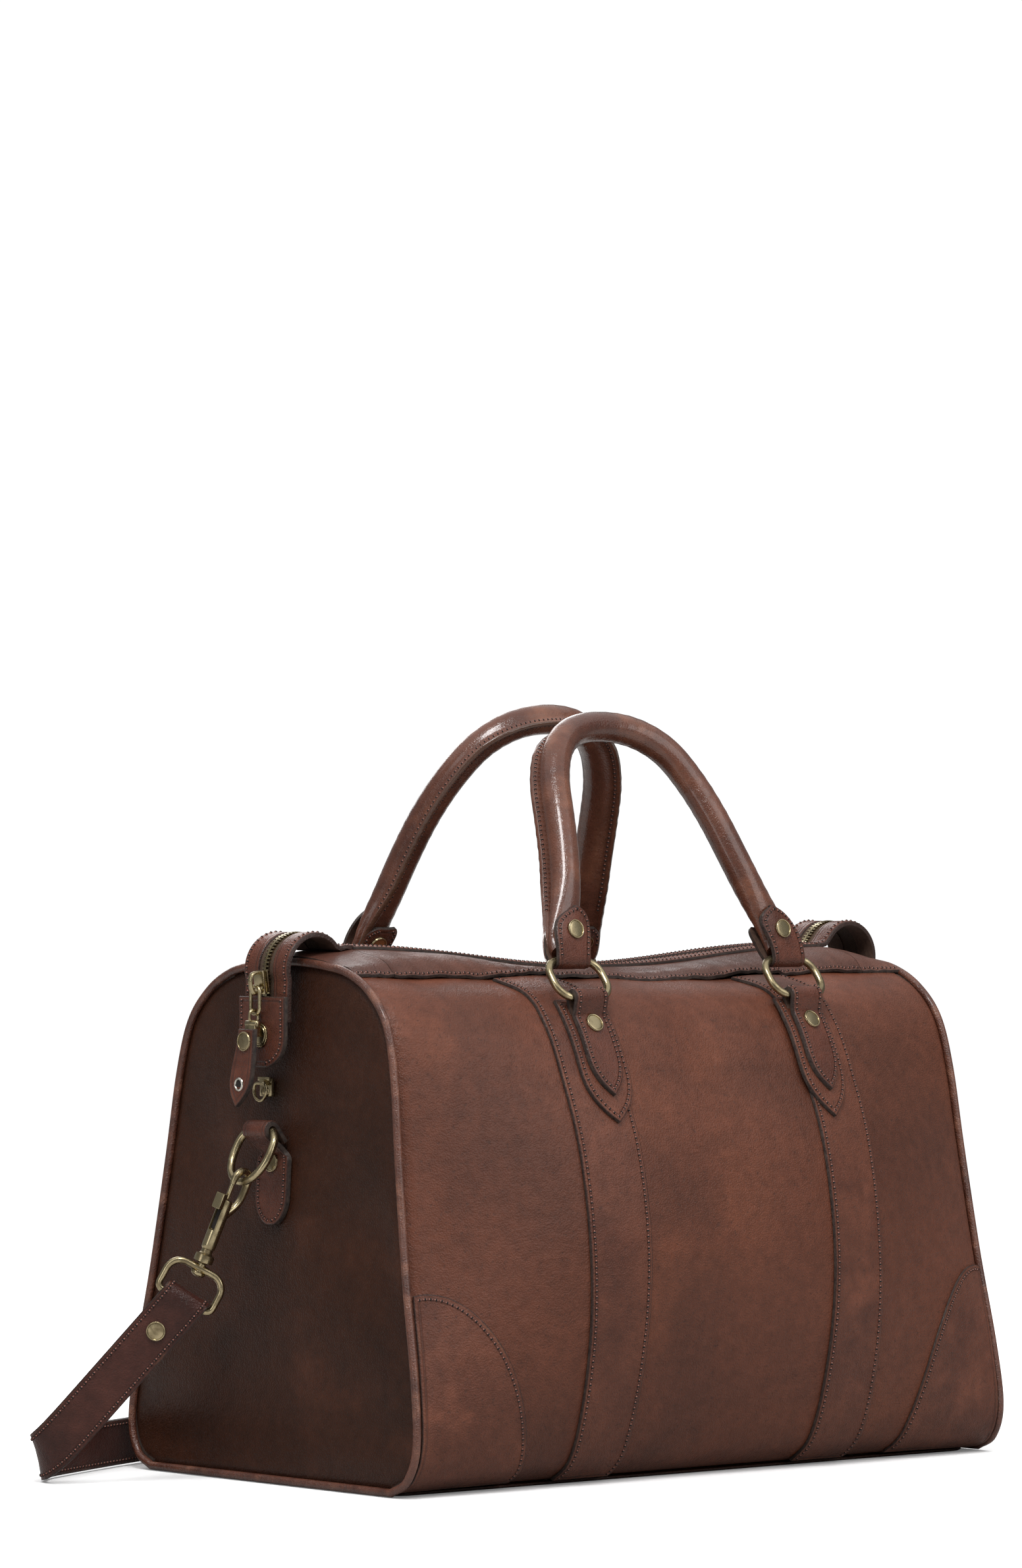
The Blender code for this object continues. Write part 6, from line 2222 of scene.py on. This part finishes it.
@dataclass
class ShoulderStrap:
    """The strap: folded round both frames, it hangs to the ground and lies in a curve behind the bag."""

    finishes: Finishes
    sewing: Sewing
    clips: tuple
    width: float = 0.029
    thickness: float = 0.004
    overlap: float = 0.048
    cap_from_eye: float = 0.0250
    bend: tuple = (0.3590, 0.0830, 0.0190)
    floor: tuple = ((0.3600, 0.0870, 0.0165), (0.3560, 0.0990, 0.0153), (0.3400, 0.1110, 0.0153),
                    (0.3100, 0.1260, 0.0153), (0.2780, 0.1410, 0.0153), (0.2300, 0.1620, 0.0153),
                    (0.1700, 0.1850, 0.0153), (0.0850, 0.2060, 0.0153), (0.0, 0.2130, 0.0153))

    def half(self, clip: EndClip) -> tuple[np.ndarray, np.ndarray, np.ndarray]:
        """Gives one half of the strap, from its folded end to the middle behind the bag.

        Args:
            clip: The clip at its end.

        Returns:
            The line, the direction across the strap and the direction of its face.
        """
        at = clip.axes()
        eye, bars = at["eye"], at["bars"]
        bend_at = np.array((clip.sign * self.bend[0], self.bend[1], self.bend[2]))
        lean = unit(bend_at - eye)
        face = unit(at["face"] - lean * float(at["face"] @ lean))
        reach = float(np.linalg.norm(bend_at - eye))
        layer = self.thickness / 2 + 0.0003
        wrap = clip.hook_wire + self.thickness / 2 + 0.0013
        line = [eye + lean * h - face * (layer + 0.0016 * smoothstep(1 - (h - 0.012) / 0.014))
                for h in np.linspace(self.overlap, 0.006, 16)]
        around = np.radians(np.linspace(-70, 70, 9))
        line += [eye - lean * wrap * math.cos(a) + face * wrap * math.sin(a) for a in around]
        line += [eye + lean * h + face * (layer + 0.0016 * smoothstep(1 - (h - 0.012) / 0.014))
                 for h in np.linspace(0.006, reach - 0.020, 34)]
        floor = [np.array((clip.sign * x, y, z)) for x, y, z in self.floor]
        hang = smooth_route([line[-9], line[-1], *floor], 190)[20:]
        whole = np.vstack([line, hang])
        arc = distances(whole)
        even = np.linspace(0, arc[-1], round(arc[-1] / 0.0022))
        dense = softened(read_rows(even, arc, whole), 4)
        turn = int(np.searchsorted(even, arc[len(line) - 18]))
        dense[turn:] = softened(dense[turn:], 70)
        run = unit(np.gradient(dense, axis=0))
        share = smoothstep((even - arc[len(line) - 6]) / 0.085)[:, None]
        bars = bars * (1 if bars[2] > 0 else -1)
        straight = unit(np.cross(face, lean))
        straight = straight * (1 if straight[2] > 0 else -1)
        pulled = smoothstep((np.abs(even - arc[20]) - 0.010) / 0.030)[:, None]
        slant = bars * (1 - pulled) + straight * pulled
        wide = slant * (1 - share) + UP * share
        wide = unit(wide - run * (wide * run).sum(axis=1, keepdims=True))
        dense[:, 2] = np.maximum(dense[:, 2], (self.width / 2 + 0.0003) * np.abs(wide[:, 2]) + 0.0010)
        out = np.cross(run, wide)
        return dense, wide, out

    def build(self) -> None:
        """Makes the strap."""
        (left, left_wide, left_out), (right, right_wide, right_out) = (self.half(clip) for clip in self.clips)
        line = np.vstack([left, right[-2::-1]])
        wide = np.vstack([left_wide, right_wide[-2::-1]])
        out = np.vstack([left_out, -right_out[-2::-1]])
        middle = len(left)
        line[middle - 30:middle + 30] = softened(line[middle - 30:middle + 30], 60)
        wide = unit(softened(wide, 6))
        ribbon = Ribbon(line, wide, unit(softened(out, 4)))
        half = self.width / 2
        length = ribbon.length

        def reach(b: np.ndarray) -> np.ndarray:
            """Gives half the strap's width at b."""
            near = np.minimum(b, length - b)
            return half * np.sqrt(np.maximum(1 - np.clip((0.008 - near) / 0.0085, 0, 1) ** 2, 0.05))

        cut = Cut("strap_leather", ribbon, lambda b: -reach(b), reach, 0.0, length, self.thickness,
                  -self.thickness / 2, 8, 0.0040, 0.0009)
        strap = self.finishes.strap
        fix(cut.build([strap, self.finishes.cut, strap]), "root", ["shoulder_strap"])
        for name, under in (("strap_face", False), ("strap_back", True)):
            self.sewing.sew(name, cut.seam(0.0030, None, under), "root", 0.0040)
        places, facings = [], []
        for clip in self.clips:
            at = clip.axes()
            lean = unit(np.array((clip.sign * self.bend[0], self.bend[1], self.bend[2])) - at["eye"])
            face = unit(at["face"] - lean * float(at["face"] @ lean))
            for toward in (1, -1):
                places.append(at["eye"] + lean * self.cap_from_eye + face * toward * (self.thickness + 0.0008))
                facings.append(face * toward)
        fix(self.sewing.caps("strap_caps", places, facings), "root")


# ---------------------------------------------------------------- studio


@dataclass(frozen=True)
class Softbox:
    """A soft rectangular light."""

    name: str
    place: tuple
    target: tuple
    size: tuple
    power: float
    mirrored: bool = True

    def build(self) -> None:
        """Adds the light."""
        light = bpy.data.lights.new(self.name, "AREA")
        light.shape = "RECTANGLE"
        light.size, light.size_y = self.size
        light.energy = self.power
        lamp = bpy.data.objects.new(self.name, light)
        lamp.location = self.place
        lamp.rotation_euler = (Vector(self.target) - Vector(self.place)).to_track_quat("-Z", "Y").to_euler()
        lamp.visible_glossy = self.mirrored
        bpy.context.scene.collection.objects.link(lamp)


@dataclass
class Studio:
    """A pale floor, a white surround, softboxes and the camera."""

    place: tuple = (-2.5705, -2.9414, 0.3566)
    heading: float = 40.57
    pitch: float = 1.18
    lens: float = 138.4
    surround: float = 0.22
    glow: float = 0.12
    floor_size: float = 2.2
    floor_white: float = 0.90
    floor_dim: tuple = (0.38, 0.37, 0.36)
    boxes: tuple = (
        Softbox("overhead", (0, 0, 3.0), (0, 0, 0), (8.0, 8.0), 230, False),
        Softbox("ceiling", (0, 0, 2.9), (0, 0, 0), (6.0, 6.0), 60),
        Softbox("key", (0.45, -2.0, 1.25), (0, 0, 0.2), (1.7, 1.7), 17),
        Softbox("front", (-0.95, -0.80, 1.95), (0, 0, 0.3), (0.5, 0.5), 20),
        Softbox("side", (-2.1, -0.4, 0.9), (0, 0, 0.2), (0.5, 1.6), 5),
        Softbox("rim", (0.9, 1.9, 1.3), (0, 0, 0.25), (1.2, 1.0), 10),
    )

    def floor(self) -> None:
        """Adds the floor."""
        bm = bmesh.new()
        bmesh.ops.create_grid(bm, x_segments=1, y_segments=1, size=self.floor_size)
        finish, graph, shader = new_material("floor_paper")
        seen = graph.tree.nodes.new("ShaderNodeLightPath").outputs["Is Camera Ray"]
        colour = graph.mixed(seen, rgba(self.floor_dim), rgba([self.floor_white] * 3))
        graph.set_inputs(shader, {"Base Color": colour, "Emission Strength": graph.math("MULTIPLY", seen, self.glow),
                                  "Emission Color": (1, 1, 1, 1), "Roughness": 0.9})
        piece = clean_object("floor", bm, [finish])

    def world(self) -> None:
        """Makes the surround white to the camera and dimmer as light."""
        world = bpy.data.worlds.new("surround")
        bpy.context.scene.world = world
        world.use_nodes = True
        graph = Graph(world.node_tree)
        seen = graph.tree.nodes.new("ShaderNodeLightPath").outputs["Is Camera Ray"]
        shade = graph.tree.nodes["Background"]
        shade.inputs["Color"].default_value = (1, 1, 1, 1)
        level = graph.math("ADD", self.surround, graph.math("MULTIPLY", seen, 1.05 - self.surround))
        graph.tree.links.new(level, shade.inputs["Strength"])

    def camera(self) -> None:
        """Adds the camera."""
        lens = bpy.data.cameras.new("camera")
        lens.lens = self.lens
        camera = bpy.data.objects.new("camera", lens)
        heading, pitch = math.radians(self.heading), math.radians(self.pitch)
        forward = Vector((math.sin(heading) * math.cos(pitch), math.cos(heading) * math.cos(pitch), math.sin(pitch)))
        camera.location = self.place
        camera.rotation_euler = forward.to_track_quat("-Z", "Y").to_euler()
        bpy.context.scene.collection.objects.link(camera)
        bpy.context.scene.camera = camera

    def build(self) -> None:
        """Sets up the studio."""
        self.floor()
        self.world()
        self.camera()
        for box in self.boxes:
            box.build()
        bpy.context.scene.view_settings.view_transform = "Standard"


def main() -> None:
    """Builds the bag's finished pieces in order, then the studio."""
    logging.basicConfig(level=logging.INFO, format="%(message)s")
    finishes = Finishes()
    sewing = Sewing(finishes)
    Body(finishes).build()
    Trim(finishes, sewing).build()
    for face, side in FACES:
        Handle(finishes, sewing, face, side, fall=(0.006, 0.006) if side > 0 else (0.0, 0.0),
               spread=0.007 if side > 0 else 0.0).build()
    Mouth(finishes, sewing).build()
    for end, sign in ENDS:
        Tongue(finishes, sewing, end, sign, sag=-0.0032 * sign).build()
    ZipPull(finishes, sewing).build()
    LockStaple(finishes).build()
    clips = tuple(EndClip(finishes, sewing, end, sign) for end, sign in ENDS)
    for clip in clips:
        clip.build()
    ShoulderStrap(finishes, sewing, clips).build()
    Studio().build()


if __name__ == "__main__":
    main()
